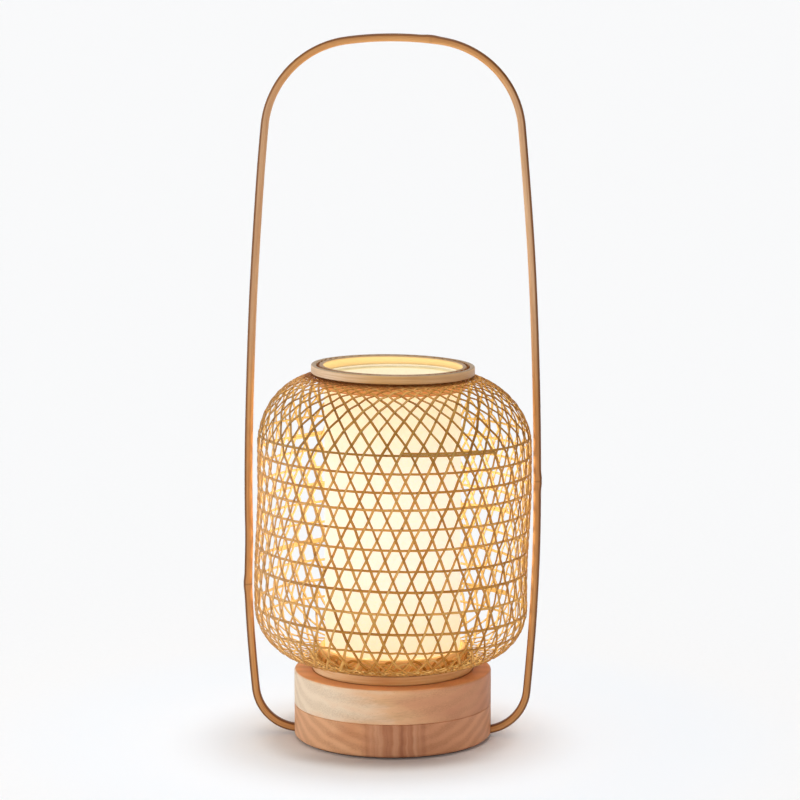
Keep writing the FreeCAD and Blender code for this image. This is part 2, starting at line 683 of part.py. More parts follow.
def tube(label, inside, outside, bottom, top):
    """Plain ring or tube between two levels."""
    return turned(label, [(inside, bottom), (outside, bottom), (outside, top), (inside, top)])


def hex_nut(label, bottom):
    """Hexagon nut on the threaded tube."""
    blank = document.addObject("Part::Prism", f"{label}_blank")
    blank.Polygon = 6
    blank.setExpression("Circumradius", "dims.nut_flats / sqrt(3)")
    blank.setExpression("Height", "dims.nut_height")
    hole = document.addObject("Part::Cylinder", f"{label}_hole")
    hole.setExpression("Radius", "dims.nut_hole")
    hole.setExpression("Height", "dims.nut_height")
    for item in (blank, hole):
        item.setExpression("Placement.Base.z", bound(bottom))
    nut = document.addObject("Part::Cut", f"{label}_cut")
    nut.Base = blank
    nut.Tool = hole
    nut.Label = label
    nodes.append(nut)


def stem():
    """Threaded tube with its washer and nuts."""
    tube("threaded_tube", "stem_bore", "stem_radius", "stem_bottom", "stem_top")
    tube("tube_washer", "nut_hole", "washer_radius", "washer_bottom", "cavity_top")
    hex_nut("tube_lower_nut", "lower_nut_bottom")
    hex_nut("tube_upper_nut", "floor_top")


def shade_floor():
    """Plywood disc that carries the hoops, screwed to the upper block."""
    body = tube("shade_floor", "stem_clearance", "floor_radius", "base_top", "floor_top")
    drill(body, "screw_holes", "floor_screw_hole", "floor_screw_ring", "base_top", "floor_top")
    drill(body, "head_sinks", "floor_screw_sink", "floor_screw_ring", "floor_sink_level", "floor_top")
    turned("shade_floor_screws", [
        ("0", "floor_screw_face"), ("floor_screw_head", "floor_screw_face"),
        ("floor_screw_head", "floor_screw_edge"), ("floor_screw_shank", "floor_screw_neck"),
        ("floor_screw_shank", "floor_screw_tip + floor_screw_shank"), ("0", "floor_screw_tip")],
        "floor_screw_ring", SCREWS_IN_RING, SCREW_ANGLE)


def hoop(label, inside, outside, bottom, top):
    """Bent bamboo hoop with softened edges."""
    turned(label, [
        (f"{inside} + hoop_break", bottom), (f"{outside} - hoop_break", bottom),
        (outside, f"{bottom} + hoop_break"), (outside, f"{top} - hoop_break"),
        (f"{outside} - hoop_break", top), (f"{inside} + hoop_break", top),
        (inside, f"{top} - hoop_break"), (inside, f"{bottom} + hoop_break")])


def hoops():
    hoop("lower_outer_hoop", "outer_hoop_inside", "lower_hoop_outside", "base_top", "lower_hoop_top")
    hoop("lower_inner_hoop", "inner_hoop_inside", "inner_hoop_outside", "base_top", "lower_inner_hoop_top")
    hoop("top_outer_hoop", "outer_hoop_inside", "top_hoop_outside", "top_hoop_bottom", "hoop_top")
    hoop("top_inner_hoop", "inner_hoop_inside", "inner_hoop_outside", "top_inner_hoop_bottom", "hoop_top")


def woven_shade():
    """Closed shell of the weave: rims between the hoops, round shoulder, upright side, round belly."""
    shoulder = "shade_radius - shoulder_radius"
    belly = "shade_radius - belly_radius"
    underside = "belly_level - belly_radius"
    turned("woven_shade", [
        ("rim_radius", "rim_top"), ("rim_radius", None),
        Arc("shoulder_radius", shoulder, "shoulder_level", "level"),
        ("shade_radius", "shoulder_level"), ("shade_radius", "belly_level"),
        Arc("belly_radius", belly, "belly_level"),
        (belly, underside), ("rim_radius", underside), ("rim_radius", "rim_bottom"),
        ("rim_radius - weave_wall", "rim_bottom"), ("rim_radius - weave_wall", f"{underside} + weave_wall"),
        (belly, f"{underside} + weave_wall"),
        Arc("belly_radius - weave_wall", belly, "belly_level"),
        ("shade_radius - weave_wall", "belly_level"), ("shade_radius - weave_wall", "shoulder_level"),
        Arc("shoulder_radius - weave_wall", shoulder, "shoulder_level", "level"),
        ("rim_radius - weave_wall", None), ("rim_radius - weave_wall", "rim_top")])


def wire_ring(label, level):
    """Round wire that stiffens one end of the diffuser."""
    ring = document.addObject("Part::Torus", f"{label}_torus")
    ring.Label = label
    ring.setExpression("Radius1", "dims.wire_ring")
    ring.setExpression("Radius2", "dims.wire_radius")
    ring.setExpression("Placement.Base.z", bound(level))
    nodes.append(ring)


def diffuser():
    """Loose translucent sleeve and its two wire rings."""
    tube("diffuser_sleeve", "diffuser_radius - diffuser_wall", "diffuser_radius",
         "diffuser_bottom", "diffuser_top")
    wire_ring("diffuser_lower_wire", "lower_wire_level")
    wire_ring("diffuser_upper_wire", "upper_wire_level")


def lampholder():
    """E27 lampholder on top of the threaded tube."""
    turned("lampholder_cap", [
        ("holder_entry", "holder_bottom"), ("holder_neck", "holder_bottom"),
        ("holder_radius", "holder_shoulder"), ("holder_radius", "cap_top"), ("holder_inside", "cap_top"),
        ("holder_inside", "holder_shoulder"), ("holder_neck_inside", "holder_floor"),
        ("holder_entry", "holder_floor")])
    turned("lampholder_skirt", [
        ("holder_inside", "skirt_bottom"), ("holder_radius", "skirt_bottom"),
        ("holder_radius", "skirt_chamfer_level"), ("skirt_chamfer", "skirt_top"),
        ("skirt_lip", "skirt_top"),
        ("skirt_lip", "skirt_lip_level"), ("holder_inside", "skirt_lip_level")])
    tube("lampholder_core", "rivet_hole", "core_radius", "core_bottom", "core_top")
    turned("lampholder_contact", [
        ("0", "rivet_bottom"), ("rivet_radius", "rivet_bottom"), ("rivet_radius", "core_top"),
        ("contact_radius", "core_top"), ("contact_radius", "contact_top"), ("0", "contact_top")])
    turned("lampholder_screw_shell", [
        ("screw_shell_opening", "core_top"), ("screw_shell_outside", "core_top"),
        ("screw_shell_outside", "screw_shell_top"), ("screw_shell_inside", "screw_shell_top"),
        ("screw_shell_inside", "screw_shell_floor"), ("screw_shell_opening", "screw_shell_floor")])


def bulb():
    """Light bulb with an E27 cap; the solder tip is a piece of its own."""
    turned("bulb_tip", [
        ("0", "tip_bottom"), ("tip_crown", "tip_bottom"), ("tip_radius", "tip_edge"),
        ("tip_radius", "tip_top"), ("0", "tip_top")])
    turned("bulb_insulator", [
        ("0", "insulator_bottom"), ("insulator_nose", "insulator_bottom"),
        ("insulator_radius", "insulator_shoulder"), ("insulator_radius", "insulator_top"),
        ("0", "insulator_top")])
    turned("bulb_screw_cap", [
        ("bulb_cap_lip", "bulb_cap_bottom"), ("bulb_cap_radius", "bulb_cap_shoulder"),
        ("bulb_cap_radius", "bulb_cap_top"), ("bulb_cap_inside", "bulb_cap_top"),
        ("bulb_cap_inside", "bulb_cap_shoulder"), ("bulb_cap_lip", "insulator_top")])
    turned("bulb_housing", [
        ("0", "housing_bottom"), ("housing_neck", "housing_bottom"), ("housing_radius", "housing_shoulder"),
        ("housing_radius", "housing_top"), ("housing_inside", "housing_top"),
        ("housing_inside", "housing_shoulder"), ("housing_neck_inside", "housing_floor"),
        ("0", "housing_floor")])
    turned("bulb_light_board", [
        ("0", "board_bottom"), ("board_radius", "board_bottom"), ("board_radius", "board_top"),
        ("0", "board_top")])
    turned("bulb_globe", [
        (None, "globe_bottom"), Arc("globe_radius", "0", "globe_centre", "axis"),
        ("0", "globe_centre + globe_radius"), ("0", "globe_centre + globe_inside"),
        Arc("globe_inside", "0", "globe_centre", "axis"), (None, "globe_bottom")])


def check_and_write():
    """Stop on any failed object or bad shape; otherwise write one file for each sub-part."""
    document.recompute()
    for item in document.Objects:
        if {"Invalid", "Error"} & set(item.State):
            raise RuntimeError(f"{item.Label} failed: {item.State}")
    for node in nodes:
        if node.Shape.isNull() or not node.Shape.isValid():
            raise RuntimeError(f"{node.Label} has no valid shape")
    os.makedirs("parts", exist_ok=True)
    for node in nodes:
        node.Shape.exportStep(f"parts/{node.Label}.step")
        box = node.Shape.BoundBox
        print(f"{node.Label:26s} solids {len(node.Shape.Solids)}  volume {node.Shape.Volume:10.1f}  "
              f"z {box.ZMin:7.2f} to {box.ZMax:7.2f}  x {box.XMin:7.2f} to {box.XMax:7.2f}")


fill_sheet()
for build in (felt_pad, bottom_cover, cover_screws, lower_block, upper_block, base_screws, cord_gland,
              handle_strip, handle_screws, terminal_block, stem, shade_floor, hoops, woven_shade,
              diffuser, lampholder, bulb):
    build()
lead("live_lead", 1)
lead("neutral_lead", -1)
check_and_write()
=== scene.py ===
import math

import bpy
import numpy as np
from mathutils import Euler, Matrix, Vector


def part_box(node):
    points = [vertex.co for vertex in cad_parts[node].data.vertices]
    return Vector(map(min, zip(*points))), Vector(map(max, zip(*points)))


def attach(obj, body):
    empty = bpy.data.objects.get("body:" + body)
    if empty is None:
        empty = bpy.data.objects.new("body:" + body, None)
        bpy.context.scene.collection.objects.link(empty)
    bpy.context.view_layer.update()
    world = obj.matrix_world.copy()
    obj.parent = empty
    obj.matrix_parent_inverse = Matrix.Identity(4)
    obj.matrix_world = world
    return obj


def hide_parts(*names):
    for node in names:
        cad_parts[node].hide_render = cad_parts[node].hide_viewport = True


# A woven bamboo table lantern, dressed round its CAD frame.  Metres, +Z up, front on -Y.

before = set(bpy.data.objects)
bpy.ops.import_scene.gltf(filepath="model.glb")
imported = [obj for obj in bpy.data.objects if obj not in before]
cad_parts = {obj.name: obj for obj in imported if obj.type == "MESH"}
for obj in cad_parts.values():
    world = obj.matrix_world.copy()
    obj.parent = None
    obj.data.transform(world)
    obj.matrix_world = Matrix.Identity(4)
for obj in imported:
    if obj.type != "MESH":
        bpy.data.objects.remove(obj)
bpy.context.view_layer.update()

MM = 0.001
TAU = 2 * math.pi
seeded = np.random.default_rng(7)

# ---- places read from the frame

SHADE_LOW, SHADE_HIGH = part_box("woven_shade")
SLEEVE_LOW, SLEEVE_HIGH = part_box("diffuser_sleeve")
HANDLE_LOW, HANDLE_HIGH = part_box("handle_strip")
GLOBE_LOW, GLOBE_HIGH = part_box("bulb_globe")

# ---- sizes of the weave

WEAVE_WALL = 2.0 * MM
SHOULDER_RADIUS = 57.0 * MM
SHOULDER_LEVEL = 231.0 * MM
BELLY_RADIUS = 42.0 * MM
BELLY_LEVEL = 105.2 * MM
RIM_RADIUS = 58.5 * MM
RIM_TURN = 3.0 * MM
END_CLEARANCE = 0.3 * MM
STRIPS_EACH_WAY = 48
# heights where the weave's shoulder is painted darker, as shade
SHOULDER_SHADE_START = (0.225, 0.245)
SHOULDER_SHADE_END = (0.286, 0.274)
# heights of the painted shadow on the strips under the upper hoops
RIM_SHADOW = (0.2835, 0.2872)
# x range where the weave's strips are painted lighter, as light falling from the left
PAINTED_LIGHT_SIDE = (-0.03, -0.105)
HEM_LOOPS = 44
HEM_RISE = 9.5 * MM
HEM_SPAN = 0.42
HEM_WIDTH = 1.8 * MM
HEM_STANDOFF = 1.05 * MM
HEM_CROSSING = 0.45 * MM
HEM_BULGE = 0.3 * MM
LEVEL_STRIPS = 11
TOP_LEVEL = 241.9 * MM
TOP_PITCH = 13.9 * MM
PITCH_GROWTH = 0.146 * MM
LEVEL_SHIFT = ((3.5, 0.5, 1.5 * MM), (2.5, 4.0, -0.6 * MM), (5.0, 6.0, 1.5 * MM),
               (9.0, 10.0, -2.5 * MM))
LEVEL_JITTER = 0.2 * MM
LEVEL_SLOPE = (0.004, 0.034)
UPPER_SPIRAL = 56.0 * MM
LOWER_SPIRAL = 56.0 * MM
LEANING_WIDTH = 1.9 * MM
LEVEL_WIDTH = 1.9 * MM
STRIP_THICKNESS = 0.6 * MM
STRIP_LIFT = 0.42 * MM
TOP_TILT = 0.016
TOP_RISE = 0.3 * MM
TILT_START = 0.2
TILT_END = 0.285
SHADE_LEAN = ((0.06, 0.115, -1.5 * MM), (0.125, 0.2, 3.0 * MM), (0.24, 0.284, -1.2 * MM))
WANDER = 0.3 * MM
LONGEST_STEP = 1.9 * MM

# ---- sizes of the carrying handle

STRIP_HALF_WIDTH = 4.0 * MM
STRIP_HALF_DEPTH = 3.0 * MM
STRIP_ROUND = 2.3 * MM
CROWN_BEND = 268.0 * MM
SHOULDER_BEND = 73.0 * MM
UPPER_SIDE_BEND = 3060.0 * MM
LOWER_SIDE_BEND = 1647.0 * MM
FOOT_BEND = 35.0 * MM
WIDEST_LEVEL = 186.4 * MM
HANDLE_END = 53.5 * MM
HANDLE_STEP = 2.0 * MM
HANDLE_LEAN = ((0.165, 0.11, -0.3 * MM), (0.23, 0.33, 0.4 * MM))
FOOT_SPREAD = 2.0 * MM
FOOT_SPREAD_LEVELS = (0.165, 0.11)
PALE_HANDLE_START = (0.26, 0.34)
PALE_HANDLE_END = (0.49, 0.53)
DARK_BEND = (0.1, 0.07)
HANDLE_NODES = ((1, 0.204), (-1, 0.121))
CROWN_NODE = 29.0 * MM
NODE_SPAN = 5.0 * MM
NODE_RISE = 0.75 * MM
SCAR_SPAN = 1.6 * MM
SCAR_DEPTH = 0.2 * MM

# ---- sizes of the hoops

HOOP_ROUND = 1.1 * MM
HOOP_DEPTH = 3.3 * MM
TOP_HOOP_DEPTH = 3.9 * MM
HOOP_LAP = 0.9
HOOP_STEP = 0.45 * MM
HOOP_SECTIONS = 240

# ---- threads and sleeve

TUBE_PITCH = 1.0 * MM
SCREW_PITCH = 3.6 * MM
SLEEVE_WALL = 0.5 * MM
SLEEVE_HEM = 7.0 * MM
SLEEVE_TURNS = 144

# ---- light and camera

CAMERA_AZIMUTH = math.radians(3.0)
CAMERA_DISTANCE = 2.3103
CAMERA_HEIGHT = 0.6069
CAMERA_PITCH = math.radians(8.37)
CAMERA_ASIDE = math.radians(0.143)
CAMERA_LENS = 135.17
CAMERA_REACH = 200.0
FLOOR_RADIUS = 60.0
FLOOR_SIDES = 64
BACKDROP = (0.955, 0.955, 0.955)
FILL_FROM = (-0.86, -0.5, 0.0)
FILL_RANGE = (0.9, 3.2)
FILL_LEVELS = (0.05, 0.55)
FILL_OVERHEAD = 0.08
KEY_FROM = (0.05, 0.07, 1.0)
KEY_ANGLE = math.radians(30.0)
KEY_COLOUR = (0.985, 0.99, 1.0)
KEY_ENERGY = 2.38
LAMP_LIGHTS = 3
LAMP_ENERGY = 0.4
LAMP_COLOUR = (1.0, 0.8, 0.48)
LAMP_SIZE = 0.04


# ---- node trees

class Nodes:
    """A short way to write a node tree."""

    def __init__(self, owner):
        owner.use_nodes = True
        self.tree = owner.node_tree

    def plug(self, socket, source):
        if isinstance(source, bpy.types.NodeSocket):
            self.tree.links.new(source, socket)
        else:
            socket.default_value = source

    def add(self, kind, inputs=None, **settings):
        node = self.tree.nodes.new(f"ShaderNode{kind}")
        for name, setting in settings.items():
            setattr(node, name, setting)
        for name, source in (inputs or {}).items():
            self.plug(node.inputs[name], source)
        return node

    def place(self, scale=(1, 1, 1), offset=(0, 0, 0), turn=(0, 0, 0)):
        """Object coordinates in metres, moved, turned and stretched."""
        source = self.add("TexCoord").outputs["Object"]
        return self.add("Mapping", {"Vector": source, "Location": offset, "Rotation": turn,
                                    "Scale": scale}).outputs["Vector"]

    def split(self, vector):
        return self.add("SeparateXYZ", {"Vector": vector}).outputs

    def coordinates(self):
        """Object coordinates in metres, one by one."""
        return self.split(self.add("TexCoord").outputs["Object"])

    def upward(self):
        """How squarely the surface faces up."""
        return self.split(self.add("NewGeometry").outputs["Normal"])[2]

    def attribute(self, name):
        return self.add("Attribute", attribute_name=name).outputs["Fac"]

    def noise(self, vector, scale=1.0, detail=4.0, roughness=0.55, distortion=0.0):
        return self.add("TexNoise", {"Vector": vector, "Scale": scale, "Detail": detail,
                                     "Roughness": roughness, "Distortion": distortion}).outputs["Fac"]

    def grain(self, *terms, **settings):
        """Noise over up to three sources, each stretched by its own factor."""
        sources = {axis: self.times(*term) for axis, term in zip("XYZ", terms)}
        return self.noise(self.add("CombineXYZ", sources).outputs["Vector"], **settings)

    def math(self, operation, a, b=0.0, clamp=False):
        node = self.add("Math", operation=operation, use_clamp=clamp)
        self.plug(node.inputs[0], a)
        self.plug(node.inputs[1], b)
        return node.outputs[0]

    def times(self, a, b):
        return self.math("MULTIPLY", a, b)

    def plus(self, a, b):
        return self.math("ADD", a, b)

    def gap(self, a, b):
        """How far apart two numbers are."""
        return self.math("ABSOLUTE", self.math("SUBTRACT", a, b))

    def total(self, *terms):
        """Sum of (source, share) pairs."""
        result = None
        for source, share in terms:
            part = self.times(source, share)
            result = part if result is None else self.plus(result, part)
        return result

    def between(self, source, low, high, to_low=0.0, to_high=1.0):
        """Smooth step from low to high."""
        node = self.add("MapRange", {"Value": source, "From Min": low, "From Max": high,
                                     "To Min": to_low, "To Max": to_high},
                        interpolation_type="SMOOTHSTEP")
        return node.outputs["Result"]

    def ramp(self, factor, *stops):
        node = self.add("ValToRGB", {"Fac": factor})
        elements = node.color_ramp.elements
        while len(elements) < len(stops):
            elements.new(1.0)
        for element, (place, colour) in zip(elements, stops):
            element.position = place
            element.color = (*colour, 1.0)
        return node.outputs["Color"]

    def blend(self, factor, a, b, mode="MIX"):
        node = self.add("Mix", data_type="RGBA", blend_type=mode)
        self.plug(node.inputs[0], factor)
        for socket, source in ((node.inputs[6], a), (node.inputs[7], b)):
            self.plug(socket, (*source, 1.0) if isinstance(source, tuple) else source)
        return node.outputs[2]

    def tint(self, colour, tone):
        return self.blend(1.0, colour, tone, "MULTIPLY")


class Finish(Nodes):
    """The node tree of a new material."""

    def __init__(self, name):
        self.material = bpy.data.materials.new(name)
        super().__init__(self.material)
        self.shader = self.tree.nodes["Principled BSDF"]
        self.output = self.tree.nodes["Material Output"]

    def shade(self, **sockets):
        for name, source in sockets.items():
            self.plug(self.shader.inputs[name.replace("_", " ")], source)

    def bump(self, height, strength, distance):
        node = self.add("Bump", {"Height": height, "Strength": strength, "Distance": distance})
        self.shade(Normal=node.outputs["Normal"])

    def let_through(self, share, colour):
        """Mix in a share of light that passes through the sheet."""
        through = self.add("BsdfTranslucent", {"Color": colour})
        mix = self.add("MixShader", {0: share, 1: self.shader.outputs[0], 2: through.outputs[0]})
        self.plug(self.output.inputs["Surface"], mix.outputs[0])


# ---- bamboo

def strip_material(name):
    """Split bamboo of the weave: brown skin outside, paler flesh inside, long fibres, with painted light on
    its -X side, painted shade over the shoulder and a painted shadow under the upper hoops.
    """
    net = Finish(name)
    along, across, tone, skin = (net.attribute(a) for a in ("along", "across", "tone", "skin"))
    shifted = net.total((along, 1.0), (tone, 7.3))
    fibres = net.grain((shifted, 130.0), (across, 5.0), (tone, 37.0), detail=5.0, roughness=0.6)
    patches = net.grain((shifted, 24.0), (tone, 53.0), detail=2.0)
    mixed = net.total((fibres, 0.45), (patches, 0.35), (tone, 0.2))
    outside = net.ramp(mixed, (0.28, (0.365, 0.145, 0.02)), (0.48, (0.655, 0.345, 0.07)),
                       (0.7, (0.89, 0.61, 0.2)))
    inside = net.ramp(mixed, (0.28, (0.64, 0.41, 0.12)), (0.5, (0.84, 0.62, 0.25)),
                      (0.7, (0.91, 0.74, 0.38)))
    colour = net.blend(net.between(skin, 0.3, 0.7), inside, outside)
    x, y, height = net.coordinates()
    # painted light: strips on the -X side are blended paler, as the light from the left falls on them
    colour = net.blend(net.between(x, *PAINTED_LIGHT_SIDE, 0.0, 0.4), colour, (0.93, 0.72, 0.38))
    # painted shade: the strips are darkened over the shoulder, below the upper rim
    shoulder = net.times(net.between(height, *SHOULDER_SHADE_START), net.between(height, *SHOULDER_SHADE_END))
    colour = net.blend(shoulder, colour, net.tint(colour, (0.7, 0.665, 0.56)))
    # painted shadow: the strips just under the upper hoops are darkened, as the shadow of the hoops
    colour = net.blend(net.between(height, *RIM_SHADOW, 0.0, 0.75), colour, (0.26, 0.055, 0.01))
    joint = net.gap(net.math("FRACT", net.times(shifted, 4.3)), 0.5)
    joint_line = net.between(joint, 0.0, 0.008, 1.0, 0.0)
    edge = net.math("POWER", net.math("ABSOLUTE", across), 4.0)
    darkening = net.math("MAXIMUM", net.times(joint_line, 0.55), net.times(edge, 0.4))
    colour = net.blend(darkening, colour, (0.24, 0.06, 0.008))
    net.shade(Base_Color=colour, Roughness=net.between(fibres, 0.2, 0.8, 0.36, 0.58),
              Specular_IOR_Level=0.18)
    net.bump(fibres, 0.4, 0.15 * MM)
    net.let_through(0.3, net.tint(colour, (1.0, 0.75, 0.4)))
    return net.material


def handle_material():
    """Lacquered bamboo: pale cut edges, darker skin on the outer face, nodes with a dark scar."""
    net = Finish("handle_bamboo_strip")
    along, outer, front, node = (net.attribute(a) for a in ("along", "outer", "front", "node"))
    fibres = net.grain((along, 22.0), (outer, 4.2), (front, 5.5), detail=6.0, roughness=0.62)
    slow = net.grain((along, 7.0), (outer, 0.5), detail=3.0)
    mixed = net.total((fibres, 0.5), (slow, 0.5))
    flesh = net.ramp(mixed, (0.3, (0.4, 0.165, 0.05)), (0.5, (0.58, 0.27, 0.092)),
                     (0.68, (0.72, 0.4, 0.165)))
    height = net.coordinates()[2]
    upper = net.times(net.between(height, *PALE_HANDLE_START),
                      net.between(height, *PALE_HANDLE_END, 0.8, 0.0))
    pale = net.ramp(mixed, (0.3, (0.44, 0.215, 0.105)), (0.5, (0.59, 0.345, 0.19)),
                    (0.68, (0.72, 0.48, 0.3)))
    flesh = net.blend(upper, flesh, pale)
    skin = net.ramp(mixed, (0.3, (0.11, 0.038, 0.011)), (0.5, (0.19, 0.07, 0.021)),
                    (0.7, (0.3, 0.13, 0.042)))
    edge = net.between(net.plus(outer, net.times(fibres, 0.35)), 0.42, 0.86)
    colour = net.blend(edge, flesh, skin)
    inner = net.between(net.math("SUBTRACT", net.times(fibres, 0.35), outer), 0.78, 1.05)
    colour = net.blend(net.times(inner, net.between(height, *DARK_BEND)), colour, skin)
    scar = net.between(node, 0.55, 0.95)
    colour = net.blend(net.times(scar, 0.35), colour, (0.12, 0.045, 0.018))
    net.shade(Base_Color=colour, Roughness=net.between(fibres, 0.25, 0.75, 0.36, 0.55),
              Specular_IOR_Level=0.16)
    net.bump(net.total((fibres, 1.0), (scar, -0.6)), 0.35, 0.3 * MM)
    return net.material


def hoop_material(name, pale, middle, dark, top_face, inner_face=None, painted_side_light=None,
                  top_reach=(0.8, 0.98)):
    """Bent hoop: fibres run round it, and its cut top face and inner face have tones of their own.

    The three side tints are painted light, for its -X side, its front and back, and its +X side; a low
    top_reach spreads the top-face colour down the upper face, and the lower edge is darkened as painted
    shade.
    """
    net = Finish(name)
    along, outer, upper = (net.attribute(a) for a in ("along", "outer", "upper"))
    fibres = net.grain((along, 30.0), (outer, 2.5), (upper, 7.0), detail=6.0, roughness=0.6)
    slow = net.grain((along, 16.0), (upper, 0.8), detail=3.0)
    mixed = net.total((fibres, 0.5), (slow, 0.5))
    colour = net.ramp(mixed, (0.32, dark), (0.5, middle), (0.66, pale))
    # painted light: the hoop is tinted lightest on its -X side and darker to the front and +X side, as if lit
    # from the left
    if painted_side_light:
        x = net.coordinates()[0]
        side = net.total((x, 8.0), (slow, 0.25))
        tint = net.ramp(net.plus(side, 0.375), *zip((0.12, 0.45, 0.85), painted_side_light))
        colour = net.tint(colour, tint)
    if inner_face:
        colour = net.blend(net.between(outer, -0.2, -0.8), colour, inner_face)
    colour = net.blend(net.between(upper, *top_reach, 0.0, 0.85), colour, top_face)
    # painted shade: the lower edge of each hoop is darkened, as the shadow where it sits
    colour = net.blend(net.between(upper, -0.8, -0.98, 0.0, 0.6), colour, (0.24, 0.08, 0.02))
    net.shade(Base_Color=colour, Roughness=net.between(fibres, 0.3, 0.7, 0.36, 0.52),
              Specular_IOR_Level=0.35)
    net.bump(fibres, 0.3, 0.2 * MM)
    return net.material


# ---- wood of the base

def wood_figure(net, tilt, pith, ring_pitch):
    """Growth rings round a pith that lies beside the block, long fibres and pores along X."""
    place = net.place(turn=tilt, offset=pith)
    x, y, z = net.split(place)
    bend = net.grain((x, 9.0), (y, 24.0), (z, 24.0), detail=3.0)
    reach = net.math("SQRT", net.plus(net.times(y, y), net.times(z, z)))
    count = net.plus(net.math("DIVIDE", reach, ring_pitch), net.times(bend, 1.6))
    swing = net.gap(net.math("FRACT", count), 0.5)
    late = net.between(swing, 0.1, 0.5)
    fibres = net.grain((x, 55.0), (y, 1300.0), (z, 1300.0), detail=5.0, roughness=0.65)
    pores = net.grain((x, 420.0), (y, 2300.0), (z, 2300.0), detail=1.0)
    return late, fibres, net.between(pores, 0.66, 0.76)


def reach_from_axis(net):
    """Distance from the lamp's upright axis."""
    x, y = net.coordinates()[:2]
    return net.math("SQRT", net.plus(net.times(x, x), net.times(y, y)))


def pale_wood_material():
    """Upper block: nearly white on the left, tan in front and pink-brown towards +X, with specks; its top
    face is orange, partly its own tone and partly painted lamp glow, with a painted shadow ring beside the
    lower hoop.
    """
    net = Finish("base_pale_wood")
    late, fibres, pores = wood_figure(net, (0.1, 0.06, 0.0), (0.0, 0.12, -0.16), 11.0 * MM)
    plain_x = net.coordinates()[0]
    broad = net.noise(net.place(scale=(20.0, 24.0, 60.0), turn=(0.0, 0.5, 0.0)), detail=4.0)
    side = net.total((plain_x, 5.6), (broad, 0.55), (late, 0.05))
    tone = net.ramp(side, (0.02, (0.9, 0.73, 0.54)), (0.3, (0.8, 0.47, 0.25)),
                    (0.48, (0.7, 0.35, 0.18)), (0.68, (0.59, 0.26, 0.135)))
    grain = net.ramp(net.total((late, 0.25), (fibres, 0.75)), (0.25, (0.8, 0.76, 0.72)),
                     (0.5, (0.96, 0.95, 0.94)), (0.75, (1.0, 1.0, 1.0)))
    colour = net.tint(tone, grain)
    colour = net.blend(net.times(pores, 0.4), colour, (0.34, 0.15, 0.07))
    reach = reach_from_axis(net)
    upward = net.between(net.upward(), 0.75, 0.97)
    # upward faces take a darker orange tone: partly the wood's own face, partly painted lamp glow
    top = net.tint(net.ramp(side, (0.02, (0.84, 0.42, 0.185)), (0.5, (0.64, 0.27, 0.105))), grain)
    # painted shadow: a dark ring on the top face just outside the lower hoop, where the hoop sits
    top = net.blend(net.between(reach, 64.2 * MM, 63.2 * MM, 0.0, 0.5), top, (0.26, 0.09, 0.025))
    colour = net.blend(upward, colour, top)
    net.shade(Base_Color=colour, Roughness=net.between(fibres, 0.3, 0.7, 0.46, 0.62),
              Specular_IOR_Level=0.3)
    net.bump(net.total((fibres, 0.6), (late, 0.2), (pores, -0.6)), 0.16, 0.25 * MM)
    return net.material


def red_wood_material():
    """Lower block: level streaks on the left, upright flame streaks in the middle, paler right."""
    net = Finish("base_red_wood")
    late, fibres, pores = wood_figure(net, (0.06, -0.03, 0.0), (0.0, -0.1, 0.2), 9.0 * MM)
    plain_x, plain_y, plain_z = net.coordinates()
    sway = net.grain((plain_x, 20.0), (plain_y, 20.0), (plain_z, 45.0), detail=2.0)
    side = net.total((plain_x, 6.0), (sway, 0.5))
    tone = net.ramp(side, (0.00, (0.8, 0.43, 0.225)), (0.12, (0.68, 0.31, 0.14)),
                    (0.3, (0.54, 0.215, 0.092)), (0.5, (0.62, 0.28, 0.14)),
                    (0.68, (0.7, 0.325, 0.165)))
    grain = net.ramp(net.total((late, 0.3), (fibres, 0.7)), (0.2, (0.74, 0.66, 0.6)),
                     (0.5, (0.93, 0.91, 0.89)), (0.75, (1.0, 1.0, 1.0)))
    base = net.tint(tone, grain)
    bands = net.grain((net.total((plain_x, 135.0), (sway, 1.3)), 1.0), (plain_z, 5.0), (plain_y, 2.0),
                      detail=3.0, roughness=0.5)
    flame = net.ramp(bands, (0.38, (0.33, 0.115, 0.05)), (0.5, (0.48, 0.195, 0.092)),
                     (0.64, (0.64, 0.33, 0.18)))
    off_centre = net.gap(plain_x, 7.0 * MM)
    middle = net.between(net.total((off_centre, 1.0), (sway, 0.016)), 0.022, 0.038, 1.0, 0.0)
    colour = net.blend(net.times(middle, 0.8), base, flame)
    colour = net.blend(net.times(pores, 0.35), colour, (0.22, 0.08, 0.035))
    net.shade(Base_Color=colour, Roughness=net.between(fibres, 0.3, 0.7, 0.44, 0.6),
              Specular_IOR_Level=0.3)
    net.bump(net.total((fibres, 0.6), (late, 0.2), (pores, -0.6)), 0.16, 0.25 * MM)
    return net.material


# ---- the glowing sleeve and bulb

